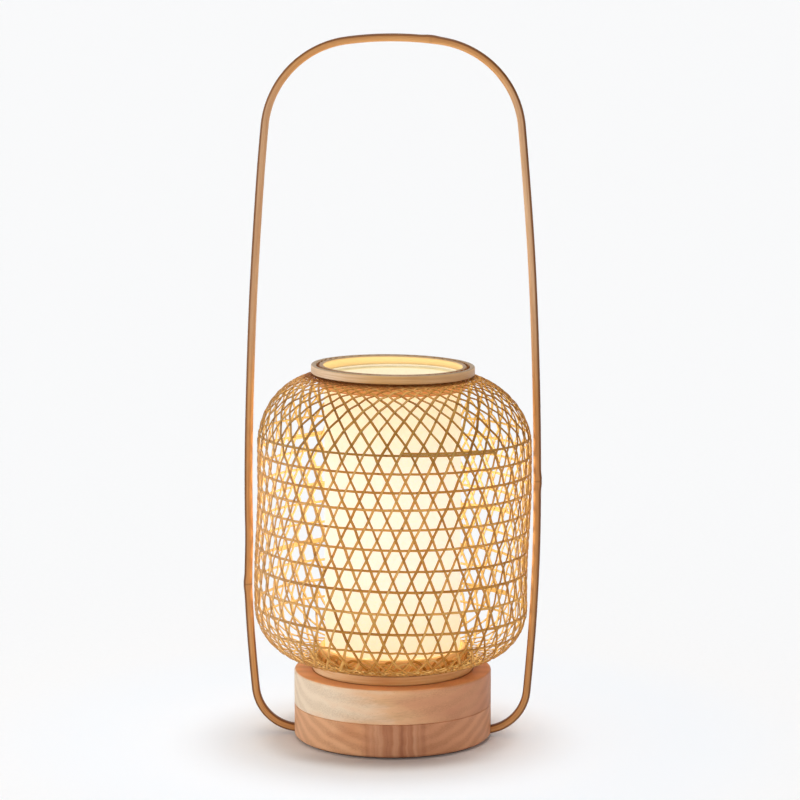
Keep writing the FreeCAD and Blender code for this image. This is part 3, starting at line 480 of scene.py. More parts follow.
def sleeve_material():
    """Cream sheet lit from inside: brightest level with the bulb, warmer towards both ends."""
    net = Finish("sleeve_cream_sheet")
    x, y, z = net.coordinates()
    middle = (GLOBE_LOW.z + GLOBE_HIGH.z) / 2
    away = net.gap(z, middle + 12 * MM)
    near = net.between(away, 0.02, 0.12, 1.0, 0.0)
    turn = net.math("ARCTAN2", x, net.times(y, -1.0))
    paper = net.grain((turn, 26.0), (z, 480.0), detail=5.0, roughness=0.65)
    cloud = net.grain((turn, 1.4), (z, 28.0), detail=3.0)
    level = net.total((near, 0.8), (paper, 0.1), (cloud, 0.1))
    light = net.ramp(level, (0.05, (1.0, 0.82, 0.44)), (0.4, (0.98, 0.88, 0.6)),
                     (0.9, (0.96, 0.95, 0.88)))
    inner = net.attribute("inner")
    light = net.blend(inner, light, (1.0, 0.91, 0.68))
    colour = net.blend(inner, net.ramp(paper, (0.35, (0.7, 0.64, 0.5)),
                                       (0.6, (0.76, 0.71, 0.59))),
                       net.ramp(paper, (0.35, (0.29, 0.25, 0.17)), (0.6, (0.34, 0.3, 0.21))))
    strength = net.between(level, 0.0, 1.0, 0.41, 0.46)
    strength = net.times(strength, net.between(inner, 0.0, 1.0, 1.0, 1.7))
    net.shade(Base_Color=colour, Roughness=net.between(paper, 0.3, 0.7, 0.5, 0.7), Emission_Color=light,
              Emission_Strength=strength, Specular_IOR_Level=0.2)
    net.bump(paper, 0.25, 0.15 * MM)
    return net.material


def glow_material():
    """Frosted globe of the bulb, brighter towards its crown."""
    net = Finish("bulb_frosted_glow")
    x, y, z = net.coordinates()
    rise = net.between(z, GLOBE_LOW.z, GLOBE_HIGH.z)
    frost = net.noise(net.place(), scale=900.0, detail=3.0)
    light = net.ramp(net.total((rise, 0.9), (frost, 0.1)), (0.0, (1.0, 0.78, 0.45)),
                     (0.8, (1.0, 0.92, 0.72)))
    net.shade(Base_Color=net.ramp(frost, (0.3, (0.85, 0.81, 0.72)), (0.7, (0.93, 0.9, 0.82))),
              Roughness=net.between(frost, 0.3, 0.7, 0.4, 0.6), Emission_Color=light,
              Emission_Strength=net.between(rise, 0.0, 1.0, 1.2, 2.4))
    net.bump(frost, 0.2, 0.1 * MM)
    return net.material


# ---- small parts and hidden parts

def plain_material(name, colour, roughness, metallic, grain, spread, depth):
    """A moulded, cast or pressed surface: slight mottling in colour, gloss and relief."""
    net = Finish(name)
    fine = net.noise(net.place(), scale=grain, detail=4.0)
    coarse = net.noise(net.place(), scale=grain / 12, detail=2.0)
    mixed = net.total((fine, 0.6), (coarse, 0.4))
    low = tuple(c * (1 - spread) for c in colour)
    high = tuple(min(1.0, c * (1 + spread)) for c in colour)
    net.shade(Base_Color=net.ramp(mixed, (0.35, low), (0.65, high)), Metallic=metallic,
              Roughness=net.between(mixed, 0.3, 0.7, max(0.05, roughness - 0.08), roughness + 0.08))
    net.bump(fine, 0.3, depth * MM)
    return net.material


def threaded_material(name, colour, roughness, pitch):
    """Metal with a screw thread turned about +Z."""
    net = Finish(name)
    x, y, z = net.coordinates()
    turn = net.math("DIVIDE", net.math("ARCTAN2", y, x), TAU)
    climb = net.plus(net.math("DIVIDE", z, pitch), turn)
    wave = net.math("SINE", net.times(climb, TAU))
    scuff = net.noise(net.place(), scale=700.0, detail=4.0)
    low = tuple(c * 0.72 for c in colour)
    # painted shade: the colour darkens along the thread's grooves
    net.shade(Base_Color=net.ramp(net.total((wave, 0.2), (scuff, 0.6)), (0.2, low), (0.45, colour)),
              Metallic=1.0, Roughness=net.between(scuff, 0.3, 0.7, roughness - 0.06, roughness + 0.1))
    net.bump(wave, 0.8, pitch / 4)
    return net.material


def plywood_material():
    """Thin veneers seen on edge, and their grain on the faces."""
    net = Finish("floor_plywood")
    x, y, z = net.coordinates()
    layers = net.math("FRACT", net.math("DIVIDE", z, 1.0 * MM))
    fibres = net.grain((x, 60.0), (y, 1100.0), (z, 300.0), detail=5.0, roughness=0.6)
    seam = net.between(net.gap(layers, 0.5), 0.4, 0.5)
    colour = net.ramp(fibres, (0.3, (0.52, 0.33, 0.18)), (0.6, (0.76, 0.56, 0.35)))
    upward = net.math("ABSOLUTE", net.upward())
    on_edge = net.times(seam, net.math("SUBTRACT", 1.0, upward, clamp=True))
    net.shade(Base_Color=net.blend(net.times(on_edge, 0.7), colour, (0.25, 0.13, 0.06)),
              Roughness=net.between(fibres, 0.3, 0.7, 0.55, 0.7))
    net.bump(fibres, 0.3, 0.2 * MM)
    return net.material


def paint(material, *nodes):
    """Give a carried-over CAD node its finish."""
    for name in nodes:
        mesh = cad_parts[name].data
        mesh.materials.clear()
        mesh.materials.append(material)


# Name, colour, roughness, metal, grain to the metre, spread of colour, relief in mm, CAD nodes.
PLAIN_FINISHES = (
    ("pad_felt", (0.11, 0.08, 0.065), 0.95, 0.0, 1400.0, 0.4, 0.5, "bottom_felt_pad"),
    ("cover_fibreboard", (0.4, 0.28, 0.17), 0.85, 0.0, 900.0, 0.25, 0.2, "bottom_cover"),
    ("screw_zinc", (0.62, 0.6, 0.56), 0.32, 1.0, 1500.0, 0.12, 0.04,
     "cover_screws", "base_screws", "handle_screws", "shade_floor_screws"),
    ("gland_rubber", (0.025, 0.025, 0.026), 0.62, 0.0, 1800.0, 0.3, 0.1, "cord_gland"),
    ("nut_passivated_steel", (0.7, 0.64, 0.48), 0.34, 1.0, 1200.0, 0.12, 0.05,
     "tube_washer", "tube_lower_nut", "tube_upper_nut"),
    ("terminal_nylon", (0.82, 0.81, 0.76), 0.5, 0.0, 1300.0, 0.05, 0.1, "terminal_block"),
    ("holder_white_plastic", (0.84, 0.83, 0.8), 0.4, 0.0, 1500.0, 0.04, 0.1,
     "lampholder_cap", "lampholder_skirt"),
    ("core_ceramic", (0.86, 0.84, 0.79), 0.2, 0.0, 500.0, 0.06, 0.1, "lampholder_core"),
    ("contact_brass", (0.78, 0.58, 0.24), 0.26, 1.0, 1300.0, 0.12, 0.05, "lampholder_contact"),
    ("tip_solder", (0.64, 0.64, 0.66), 0.38, 1.0, 900.0, 0.12, 0.15, "bulb_tip"),
    ("insulator_black_glass", (0.02, 0.02, 0.024), 0.12, 0.0, 500.0, 0.3, 0.1, "bulb_insulator"),
    ("housing_white_plastic", (0.88, 0.865, 0.83), 0.3, 0.0, 1300.0, 0.04, 0.1, "bulb_housing"),
    ("board_solder_mask", (0.88, 0.88, 0.85), 0.35, 0.0, 1100.0, 0.05, 0.1, "bulb_light_board"),
    ("wire_cream_coating", (0.78, 0.68, 0.45), 0.4, 0.0, 1500.0, 0.06, 0.1,
     "diffuser_lower_wire", "diffuser_upper_wire"),
    ("lead_brown_sheath", (0.18, 0.08, 0.035), 0.4, 0.0, 1500.0, 0.15, 0.1, "live_lead"),
    ("lead_blue_sheath", (0.045, 0.15, 0.42), 0.4, 0.0, 1500.0, 0.15, 0.1, "neutral_lead"),
)


def paint_frame():
    """Every carried-over CAD node gets its finish, whether it shows or not."""
    paint(pale_wood_material(), "base_upper_block")
    paint(red_wood_material(), "base_lower_block")
    paint(plywood_material(), "shade_floor")
    paint(glow_material(), "bulb_globe")
    paint(threaded_material("tube_passivated_steel", (0.72, 0.64, 0.44), 0.32, TUBE_PITCH),
          "threaded_tube")
    paint(threaded_material("shell_brass_thread", (0.78, 0.6, 0.28), 0.3, SCREW_PITCH),
          "lampholder_screw_shell")
    paint(threaded_material("cap_nickel_thread", (0.77, 0.76, 0.73), 0.24, SCREW_PITCH), "bulb_screw_cap")
    for name, colour, roughness, metallic, grain, spread, relief, *nodes in PLAIN_FINISHES:
        paint(plain_material(name, colour, roughness, metallic, grain, spread, relief), *nodes)



# ---- meshes

def placed(name, data):
    """Put a new object in the scene."""
    made = bpy.data.objects.new(name, data)
    bpy.context.scene.collection.objects.link(made)
    return made


def new_piece(name, mesh, material, body, slot, *replaced):
    """Link a mesh as a piece of the object, riding on a body and standing for CAD nodes."""
    mesh.materials.append(material)
    piece = placed(name, mesh)
    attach(piece, body)
    if replaced:
        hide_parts(*replaced)
    return piece


class Lofts:
    """Sections joined into closed strips, with numbers kept at each corner for the material."""

    def __init__(self, *channels):
        self.points = []
        self.faces = []
        self.channels = {name: [] for name in channels}

    def add(self, rings, closed=False, **channels):
        """rings has one row of corners for each section; each channel has the same shape."""
        sections, corners = rings.shape[:2]
        first = sum(len(p) for p in self.points)
        self.points.append(rings.reshape(-1, 3))
        for name, numbers in channels.items():
            self.channels[name].append(np.broadcast_to(numbers, (sections, corners)).reshape(-1))
        here = np.arange(sections if closed else sections - 1)[:, None] * corners
        there = (here + corners) % (sections * corners)
        corner = np.arange(corners)[None, :]
        after = (corner + 1) % corners
        quads = np.stack([here + corner, here + after, there + after, there + corner], axis=2)
        self.faces.extend((quads.reshape(-1, 4) + first).tolist())
        if not closed:
            last = first + (sections - 1) * corners
            self.faces.append([first + k for k in reversed(range(corners))])
            self.faces.append([last + k for k in range(corners)])

    def mesh(self, name):
        mesh = bpy.data.meshes.new(name)
        mesh.from_pydata(np.concatenate(self.points).tolist(), [], self.faces)
        for channel, numbers in self.channels.items():
            layer = mesh.attributes.new(channel, "FLOAT", "POINT")
            layer.data.foreach_set("value", np.concatenate(numbers).astype(np.float32))
        mesh.polygons.foreach_set("use_smooth", [True] * len(mesh.polygons))
        mesh.update()
        return mesh


def unit(vectors):
    return vectors / np.linalg.norm(vectors, axis=-1, keepdims=True)


def radial(turn):
    """Level vectors outward from the axis."""
    return np.column_stack([np.cos(turn), np.sin(turn), np.zeros(len(turn))])


def wave_sum(along, reach, *spans):
    """A slow wander made of a few waves with seeded phases."""
    phases = seeded.uniform(0.0, TAU, len(spans))
    waves = [np.sin(along / span * TAU + phase) for span, phase in zip(spans, phases)]
    return reach * sum(waves) / len(waves)


# ---- the weave

class Meridian:
    """The middle of the weave's wall, from the upper rim down to the lower rim, by arc length."""

    def __init__(self):
        self.pieces = []
        self.length = 0.0

    def line(self, start, end):
        start = np.array(start)
        run = np.array(end) - start
        span = float(np.hypot(*run))
        self.pieces.append((self.length, lambda at: (start + run / span * at, run / span)))
        self.length += span

    def arc(self, centre, radius, first, last):
        turn = math.copysign(1.0, last - first)

        def at_run(at):
            angle = first + turn * at / radius
            outward = np.array([math.cos(angle), math.sin(angle)])
            return np.array(centre) + radius * outward, turn * np.array([-outward[1], outward[0]])

        self.pieces.append((self.length, at_run))
        self.length += abs(last - first) * radius

    def at(self, along):
        """Radius, height, and the outward normal's radius and height."""
        start, piece = next(p for p in reversed(self.pieces) if p[0] <= max(along, 0.0))
        point, heading = piece(along - start)
        return point[0], point[1], -heading[1], heading[0]


def weave_meridian():
    """Rim, small turn, shoulder, upright side, belly, underside, small turn and lower rim."""
    side = SHADE_HIGH.x - WEAVE_WALL / 2
    shoulder_radius = SHOULDER_RADIUS - WEAVE_WALL / 2
    belly_radius = BELLY_RADIUS - WEAVE_WALL / 2
    shoulder = (side - shoulder_radius, SHOULDER_LEVEL)
    belly = (side - belly_radius, BELLY_LEVEL)
    turn_radius = RIM_RADIUS + RIM_TURN
    run = turn_radius - shoulder[0]
    rise = math.sqrt((shoulder_radius + RIM_TURN) ** 2 - run ** 2)
    meeting = math.atan2(rise, run)
    underside = BELLY_LEVEL - belly_radius
    path = Meridian()
    path.line((RIM_RADIUS, SHADE_HIGH.z - END_CLEARANCE), (RIM_RADIUS, SHOULDER_LEVEL + rise))
    path.arc((turn_radius, SHOULDER_LEVEL + rise), RIM_TURN, math.pi, math.pi + meeting)
    path.arc(shoulder, shoulder_radius, meeting, 0.0)
    path.line((side, SHOULDER_LEVEL), (side, BELLY_LEVEL))
    path.arc(belly, belly_radius, 0.0, -math.pi / 2)
    path.line((belly[0], underside), (turn_radius, underside))
    path.arc((turn_radius, underside - RIM_TURN), RIM_TURN, math.pi / 2, math.pi)
    path.line((RIM_RADIUS, underside - RIM_TURN), (RIM_RADIUS, SHADE_LOW.z + END_CLEARANCE))
    return path


MERIDIAN = weave_meridian()
SIDE_RADIUS = SHADE_HIGH.x - WEAVE_WALL / 2
STRIP_STEP = TAU / STRIPS_EACH_WAY
CROSSING_TURN = STRIP_STEP / 2


def level_number(height):
    """Which level strip is at a height, counted from the top one; whole at each strip."""
    inside = TOP_PITCH ** 2 + 4 * PITCH_GROWTH * (TOP_LEVEL - height)
    return (np.sqrt(np.maximum(inside, 0.0)) - TOP_PITCH) / (2 * PITCH_GROWTH)


def crossing_table():
    """Arc lengths, and how far a leaning strip has turned there, counted in crossings.

    Beside the level strips the crossings keep step with them.  Beyond them a strip lies the way
    a straight lath does on a round surface: its radius times the sine of its lean stays the same.
    """
    along = np.linspace(0.0, MERIDIAN.length, 3001)
    radius, height = np.array([MERIDIAN.at(a)[:2] for a in along]).T
    number = level_number(height)
    outside = radius > RIM_RADIUS + 20 * MM
    first = np.argmax(outside & (number > 0.0))
    last = np.argmax(outside & (number > LEVEL_STRIPS - 1))
    rate = np.gradient(number, along)
    past = np.clip((along - along[last]) / (25 * MM), 0.0, 1.0)
    edge_lean = math.atan(rate[last] * CROSSING_TURN * radius[last])
    lower = radius[last] * math.sin(edge_lean) * (1 - past) + LOWER_SPIRAL * past
    spiral = np.where(along < along[first], UPPER_SPIRAL, lower)
    leans = np.arcsin(np.minimum(spiral / radius, 0.999))
    free = np.tan(leans) / radius / CROSSING_TURN
    rate = np.where((along < along[first]) | (along > along[last]), free, rate)
    turned = np.concatenate([[0.0], np.cumsum((rate[1:] + rate[:-1]) / 2 * np.diff(along))])
    return along, turned - turned[first] + FIRST_LEVEL


FIRST_LEVEL = 0.5
LAST_LEVEL = FIRST_LEVEL + LEVEL_STRIPS - 1
ALONG, CROSSINGS = crossing_table()


def smooth(numbers, start, end):
    """Smooth step from 0 at start to 1 at end."""
    share = np.clip((numbers - start) / (end - start), 0.0, 1.0)
    return share * share * (3 - 2 * share)


def lean(height, *steps):
    """Sideways shift at a height: each step is (start, end, shift)."""
    return sum(shift * smooth(height, start, end) for start, end, shift in steps)


def settle(points):
    """The shade leans and its mouth sits a little askew, as on a hand-made one."""
    settled = points.copy()
    settled[..., 2] += smooth(points[..., 2], TILT_START, TILT_END) * (TOP_RISE - TOP_TILT * points[..., 0])
    settled[..., 0] += lean(points[..., 2], *SHADE_LEAN)
    return settled


def leaning_lift(crossing):
    """Lift of a right-leaning strip: over the other family, under the level strips between."""
    above = FIRST_LEVEL - 0.5
    below = LAST_LEVEL + 0.5
    lift = np.cos(TAU * crossing)
    lift = np.where(crossing < above, np.cos(math.pi * (above - crossing)), lift)
    return np.where(crossing > below, np.cos(math.pi * (crossing - below)), lift)


def strip_stations():
    """Arc lengths along the meridian, closer together where the crossings are close."""
    stations = [0.0]
    while stations[-1] < MERIDIAN.length:
        here = stations[-1]
        crossing, ahead = np.interp((here, here + MM), ALONG, CROSSINGS)
        share = 0.125 if FIRST_LEVEL - 1 < crossing < LAST_LEVEL + 1 else 0.25
        rate = max(ahead - crossing, 1e-3) / MM
        stations.append(here + min(LONGEST_STEP, share / rate))
    stations[-1] = MERIDIAN.length - 1e-6
    return np.array(stations)


SECTION = np.array([(-1.0, 0.55), (-0.8, 1.0), (0.8, 1.0), (1.0, 0.55),
                    (1.0, -0.55), (0.8, -1.0), (-0.8, -1.0), (-1.0, -0.55)])


def strip_rings(centres, normals, sides, half_width):
    """Corners of the flat, slightly rounded section at each station."""
    across = sides[:, None, :] * (SECTION[None, :, :1] * half_width[:, None, None])
    through = normals[:, None, :] * (SECTION[None, :, 1:] * STRIP_THICKNESS / 2)
    return centres[:, None, :] + across + through


def run_lengths(centres):
    steps = np.linalg.norm(np.diff(centres, axis=0), axis=1)
    return np.concatenate([[0.0], np.cumsum(steps)])


def add_strip(lofts, centres, normals, half_width, closed=False):
    """One strip along its centres, with its face square to the given normals."""
    if closed:
        heading = unit(np.roll(centres, -1, axis=0) - np.roll(centres, 1, axis=0))
    else:
        heading = unit(np.gradient(centres, axis=0))
    sides = unit(np.cross(heading, normals))
    rings = settle(strip_rings(centres, np.cross(sides, heading), sides, half_width))
    lofts.add(rings, closed, along=run_lengths(centres)[:, None], across=SECTION[None, :, 0],
              tone=seeded.uniform(), skin=(SECTION[None, :, 1] + 1) / 2)


def round_shade(stations, turn, lift):
    """Centres and outward normals at places along the meridian, turned about the axis."""
    radius, height, out_r, out_z = np.array([MERIDIAN.at(a) for a in stations]).T
    cos, sin = np.cos(turn), np.sin(turn)
    normals = np.column_stack([out_r * cos, out_r * sin, out_z])
    return np.column_stack([radius * cos, radius * sin, height]) + normals * lift[:, None], normals


def leaning_strips(name, hand):
    """One family of leaning strips: hand is 1 for the right-leaning ones and -1 for the left."""
    stations = strip_stations()
    crossings = np.interp(stations, ALONG, CROSSINGS)
    radius = np.array([MERIDIAN.at(a)[0] for a in stations])
    lift = hand * STRIP_LIFT * leaning_lift(crossings)
    lofts = Lofts("along", "across", "tone", "skin")
    for k in range(STRIPS_EACH_WAY):
        wander = wave_sum(stations, WANDER, 0.16, 0.061, 0.028)
        angle = k * STRIP_STEP + hand * crossings * CROSSING_TURN + wander / radius
        centres, normals = round_shade(stations, angle, lift)
        width = LEANING_WIDTH / 2 * seeded.uniform(0.85, 1.15) * (1 + wave_sum(stations, 0.08, 0.05, 0.021))
        add_strip(lofts, centres, normals, width)
    return lofts.mesh(name)


def level_strips(name):
    """The level strips: over one family and under the other, their ends lapped side by side."""
    lofts = Lofts("along", "across", "tone", "skin")
    for k in range(LEVEL_STRIPS):
        lap = seeded.uniform(0.25, 0.5) if k else 0.75
        start = seeded.uniform(0.1, 0.75) * math.pi if k else -TAU / 4 + 0.1
        turn = start + np.linspace(0.0, TAU + lap, int(STRIPS_EACH_WAY * 12 * (1 + lap / TAU)))
        crossing = FIRST_LEVEL + k
        lift = STRIP_LIFT * np.cos(TAU * (turn - crossing * CROSSING_TURN) / STRIP_STEP)
        beside = np.clip((turn - start) / lap, 0.0, 1.0) + np.clip((turn - start - TAU) / lap, 0.0, 1.0)
        ripple = wave_sum(turn, 0.4 * MM, TAU) + wave_sum(turn, 0.25 * MM, TAU / 2, TAU / 5)
        along = np.interp(crossing, CROSSINGS, ALONG) + seeded.uniform(-LEVEL_JITTER, LEVEL_JITTER)
        slope = np.interp(k, (0, LEVEL_STRIPS - 1), LEVEL_SLOPE)
        along = along + lean(float(k), *LEVEL_SHIFT) + slope * SIDE_RADIUS * np.cos(turn)
        along = along + ripple + (beside - 1.0) * LEVEL_WIDTH * 0.95
        centres, normals = round_shade(along, turn, lift)
        add_strip(lofts, centres, normals, np.full(len(turn), LEVEL_WIDTH / 2 * seeded.uniform(0.9, 1.1)))
    return lofts.mesh(name)


def hem_loops(name):
    """Strip ends at the lower rim, looped over each other round the outside of the inner hoop."""
    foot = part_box("lower_outer_hoop")[1].z - MM
    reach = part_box("lower_inner_hoop")[1].x + HEM_STANDOFF
    lofts = Lofts("along", "across", "tone", "skin")
    share = np.linspace(0.0, 1.0, 33)
    arch = np.sin(math.pi * share)
    for k in range(HEM_LOOPS):
        turn = k * TAU / HEM_LOOPS + seeded.uniform(-0.03, 0.03) + share * HEM_SPAN * seeded.uniform(0.7, 1.2)
        radius = reach + HEM_BULGE * arch - HEM_CROSSING * np.cos(math.pi * share)
        height = foot + HEM_RISE * seeded.uniform(0.6, 1.1) * arch
        normals = radial(turn)
        centres = normals * radius[:, None]
        centres[:, 2] = height
        width = HEM_WIDTH / 2 * seeded.uniform(0.8, 1.2)
        turned = -normals if k % 3 == 0 else normals
        add_strip(lofts, centres, turned, np.full(len(turn), width))
    return lofts.mesh(name)


def build_hem():
    """Every third loop shows its pale inner side."""
    new_piece("weave_hem", hem_loops("weave_hem"), strip_material("weave_hem_bamboo"), "lamp_body",
              "weave_bamboo", "woven_shade")


def build_weave():
    material = strip_material("weave_strip_bamboo")
    for name, mesh in (("weave_right_leaning", leaning_strips("weave_right_leaning", 1)),
                       ("weave_left_leaning", leaning_strips("weave_left_leaning", -1)),
                       ("weave_level", level_strips("weave_level"))):
        new_piece(name, mesh, material, "lamp_body", "weave_bamboo", "woven_shade")


# ---- hoops

def build_hoop(node, name, depth, material, lap_turn):
    """A bent lath whose end is lapped over its start, with a step where the lap ends."""
    low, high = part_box(node)
    outside = high.x
    section = rounded_section(depth / 2, (high.z - low.z) / 2, HOOP_ROUND)[::-1]
    turn = lap_turn + np.linspace(0.0, TAU, HOOP_SECTIONS, endpoint=False)
    away = turn - lap_turn
    lap = np.clip(1.0 - away / HOOP_LAP, 0.0, 1.0) * HOOP_STEP
    middle = outside - depth / 2 + wave_sum(turn, 0.12 * MM, TAU / 2, TAU / 3)
    outer_share = section[:, 0] / (depth / 2)
    upper_share = section[:, 1] / ((high.z - low.z) / 2)
    across = section[None, :, 0] + (outer_share[None, :] > 0) * lap[:, None]
    up = section[None, :, 1] + np.zeros_like(across)
    rings = radial(turn)[:, None, :] * (middle[:, None] + across)[:, :, None]
    rings[:, :, 2] = (low.z + high.z) / 2 + up
    lofts = Lofts("along", "outer", "upper")
    lofts.add(settle(rings), closed=True, along=(away * outside)[:, None], outer=outer_share[None, :],
              upper=upper_share[None, :])
    new_piece(name, lofts.mesh(name), material, "lamp_body", "hoop_bamboo", node)


def build_hoops():
    cut_face = (0.3, 0.205, 0.115)
    # painted light: tints for the -X side, the front and back, and the +X side of the outer hoops
    top_painted_light = ((1.0, 1.0, 1.0), (0.78, 0.61, 0.34), (0.72, 0.59, 0.43))
    low_painted_light = ((1.0, 1.0, 1.0), (0.76, 0.56, 0.36), (0.8, 0.62, 0.42))
    outer = hoop_material("hoop_outer_bamboo", (0.95, 0.76, 0.58), (0.8, 0.56, 0.34),
                          (0.59, 0.37, 0.18), cut_face, painted_side_light=top_painted_light)
    inner = hoop_material("hoop_inner_bamboo", (0.88, 0.43, 0.15), (0.8, 0.34, 0.1),
                          (0.64, 0.24, 0.055), cut_face, (0.6, 0.45, 0.235))
    # painted shadow: the lower hoop's dark top-face colour reaches far down its upper face, as the shade
    # under the weave's hem
    lower = hoop_material("hoop_lower_bamboo", (0.92, 0.7, 0.43), (0.82, 0.53, 0.26),
                          (0.62, 0.32, 0.115), (0.15, 0.045, 0.006), painted_side_light=low_painted_light,
                          top_reach=(0.56, 0.7))
    # the lower inner hoop is a paler gold than the upper one, its top face too: partly the bamboo's own tone,
    # partly painted lamp glow
    low_inner = hoop_material("hoop_lower_inner_bamboo", (0.92, 0.58, 0.24), (0.82, 0.46, 0.155),
                              (0.64, 0.31, 0.08), (0.82, 0.5, 0.19))
    build_hoop("top_outer_hoop", "hoop_top_outer", TOP_HOOP_DEPTH, outer, 1.2)
    build_hoop("top_inner_hoop", "hoop_top_inner", HOOP_DEPTH, inner, 4.0)
    build_hoop("lower_outer_hoop", "hoop_lower_outer", HOOP_DEPTH, lower, 2.3)
    build_hoop("lower_inner_hoop", "hoop_lower_inner", HOOP_DEPTH, low_inner, 0.6)


# ---- the carrying handle

def handle_centreline():
    """Half of the centreline in (x, z), from the crown to the end inside the base."""
    top = HANDLE_HIGH.z - STRIP_HALF_DEPTH
    half_width = HANDLE_HIGH.x - STRIP_HALF_DEPTH
    end_level = HANDLE_LOW.z + STRIP_HALF_DEPTH
    crown = Vector((0.0, top - CROWN_BEND))
    upper = Vector((half_width - UPPER_SIDE_BEND, WIDEST_LEVEL))
    apart = upper - crown
    from_crown = CROWN_BEND - SHOULDER_BEND
    from_upper = UPPER_SIDE_BEND - SHOULDER_BEND
    along = (from_crown ** 2 - from_upper ** 2 + apart.length_squared) / (2 * apart.length)
    aside = math.sqrt(from_crown ** 2 - along ** 2)
    way = apart.normalized()
    shoulder = crown + way * along + Vector((way.y, -way.x)) * aside
    lower = Vector((half_width - LOWER_SIDE_BEND, WIDEST_LEVEL))
    drop = WIDEST_LEVEL - end_level - FOOT_BEND
    foot = Vector((lower.x + math.sqrt((LOWER_SIDE_BEND - FOOT_BEND) ** 2 - drop ** 2),
                   end_level + FOOT_BEND))

    def angle(start, end):
        return math.atan2(end.y - start.y, end.x - start.x)

    bends = ((crown, CROWN_BEND, math.pi / 2, angle(crown, shoulder)),
             (shoulder, SHOULDER_BEND, angle(crown, shoulder), angle(upper, shoulder)),
             (upper, UPPER_SIDE_BEND, angle(upper, shoulder), 0.0),
             (lower, LOWER_SIDE_BEND, 0.0, angle(lower, foot)),
             (foot, FOOT_BEND, angle(lower, foot), -math.pi / 2))
    points = []
    for centre, radius, first, last in bends:
        count = max(2, round(radius * abs(last - first) / HANDLE_STEP))
        for turn in np.linspace(first, last, count, endpoint=False):
            points.append((centre.x + radius * math.cos(turn), centre.y + radius * math.sin(turn)))
    count = round((foot.x - HANDLE_END) / HANDLE_STEP)
    points += [(x, end_level) for x in np.linspace(foot.x, HANDLE_END, count)]
    return np.array(points)


def rounded_section(half_across, half_through, rounding, steps=4):
    """Corners of a rectangle with round edges, counter-clockwise, as (across, through)."""
    corners = []
    for quarter in range(4):
        turn = quarter * math.pi / 2
        centre = ((half_across - rounding) * (1 if quarter in (0, 3) else -1),
                  (half_through - rounding) * (1 if quarter in (0, 1) else -1))
        for k in range(steps + 1):
            angle = turn + k / steps * math.pi / 2
            corners.append((centre[0] + rounding * math.cos(angle), centre[1] + rounding * math.sin(angle)))
    return np.array(corners)


def build_handle():
    """The bent strip, a little uneven, with the swellings of the bamboo's nodes."""
    half = handle_centreline()
    line = np.concatenate([half[:0:-1] * (-1, 1), half])
    centres = np.column_stack([line[:, 0], np.zeros(len(line)), line[:, 1]])
    heading = unit(np.gradient(centres, axis=0))
    outward = np.cross(heading, (0.0, 1.0, 0.0))
    centres[:, 0] += lean(centres[:, 2], *HANDLE_LEAN)
    centres[:, 0] -= smooth(centres[:, 2], *FOOT_SPREAD_LEVELS) * FOOT_SPREAD * (centres[:, 0] < 0)
    run = run_lengths(centres)
    run -= run[len(half) - 1]
    marks = [run[np.argmin(abs(centres[:, 2] - level) + (centres[:, 0] * side < 0))]
             for side, level in HANDLE_NODES] + [CROWN_NODE]
    swelling = sum(np.exp(-((run - mark) / NODE_SPAN) ** 2) for mark in marks)
    scar = sum(np.exp(-((run - mark) / SCAR_SPAN) ** 2) for mark in marks)
    section = rounded_section(STRIP_HALF_WIDTH, STRIP_HALF_DEPTH, STRIP_ROUND)
    front_share = section[:, 0] / STRIP_HALF_WIDTH
    outer_share = section[:, 1] / STRIP_HALF_DEPTH
    across = (section[None, :, 0] * (1 + 0.04 * swelling + wave_sum(run, 0.03, 0.21, 0.083))[:, None])
    through = section[None, :, 1] + (outer_share[None, :] > 0) * (NODE_RISE * swelling)[:, None]
    through = through - (SCAR_DEPTH * scar)[:, None] * (outer_share[None, :] > 0)
    sway = wave_sum(run, 0.15 * MM, 0.31, 0.13)
    rings = (centres[:, None, :] + outward[:, None, :] * (through[:, :, None] + sway[:, None, None])
             + np.array([0.0, 1.0, 0.0]) * across[:, :, None])
    lofts = Lofts("along", "outer", "front", "node")
    lofts.add(rings, along=run[:, None], outer=outer_share[None, :], front=front_share[None, :],
              node=scar[:, None])
    new_piece("handle_bamboo", lofts.mesh("handle_bamboo"), handle_material(), "lamp_body",
              "handle_bamboo", "handle_strip")


# ---- the diffuser sleeve

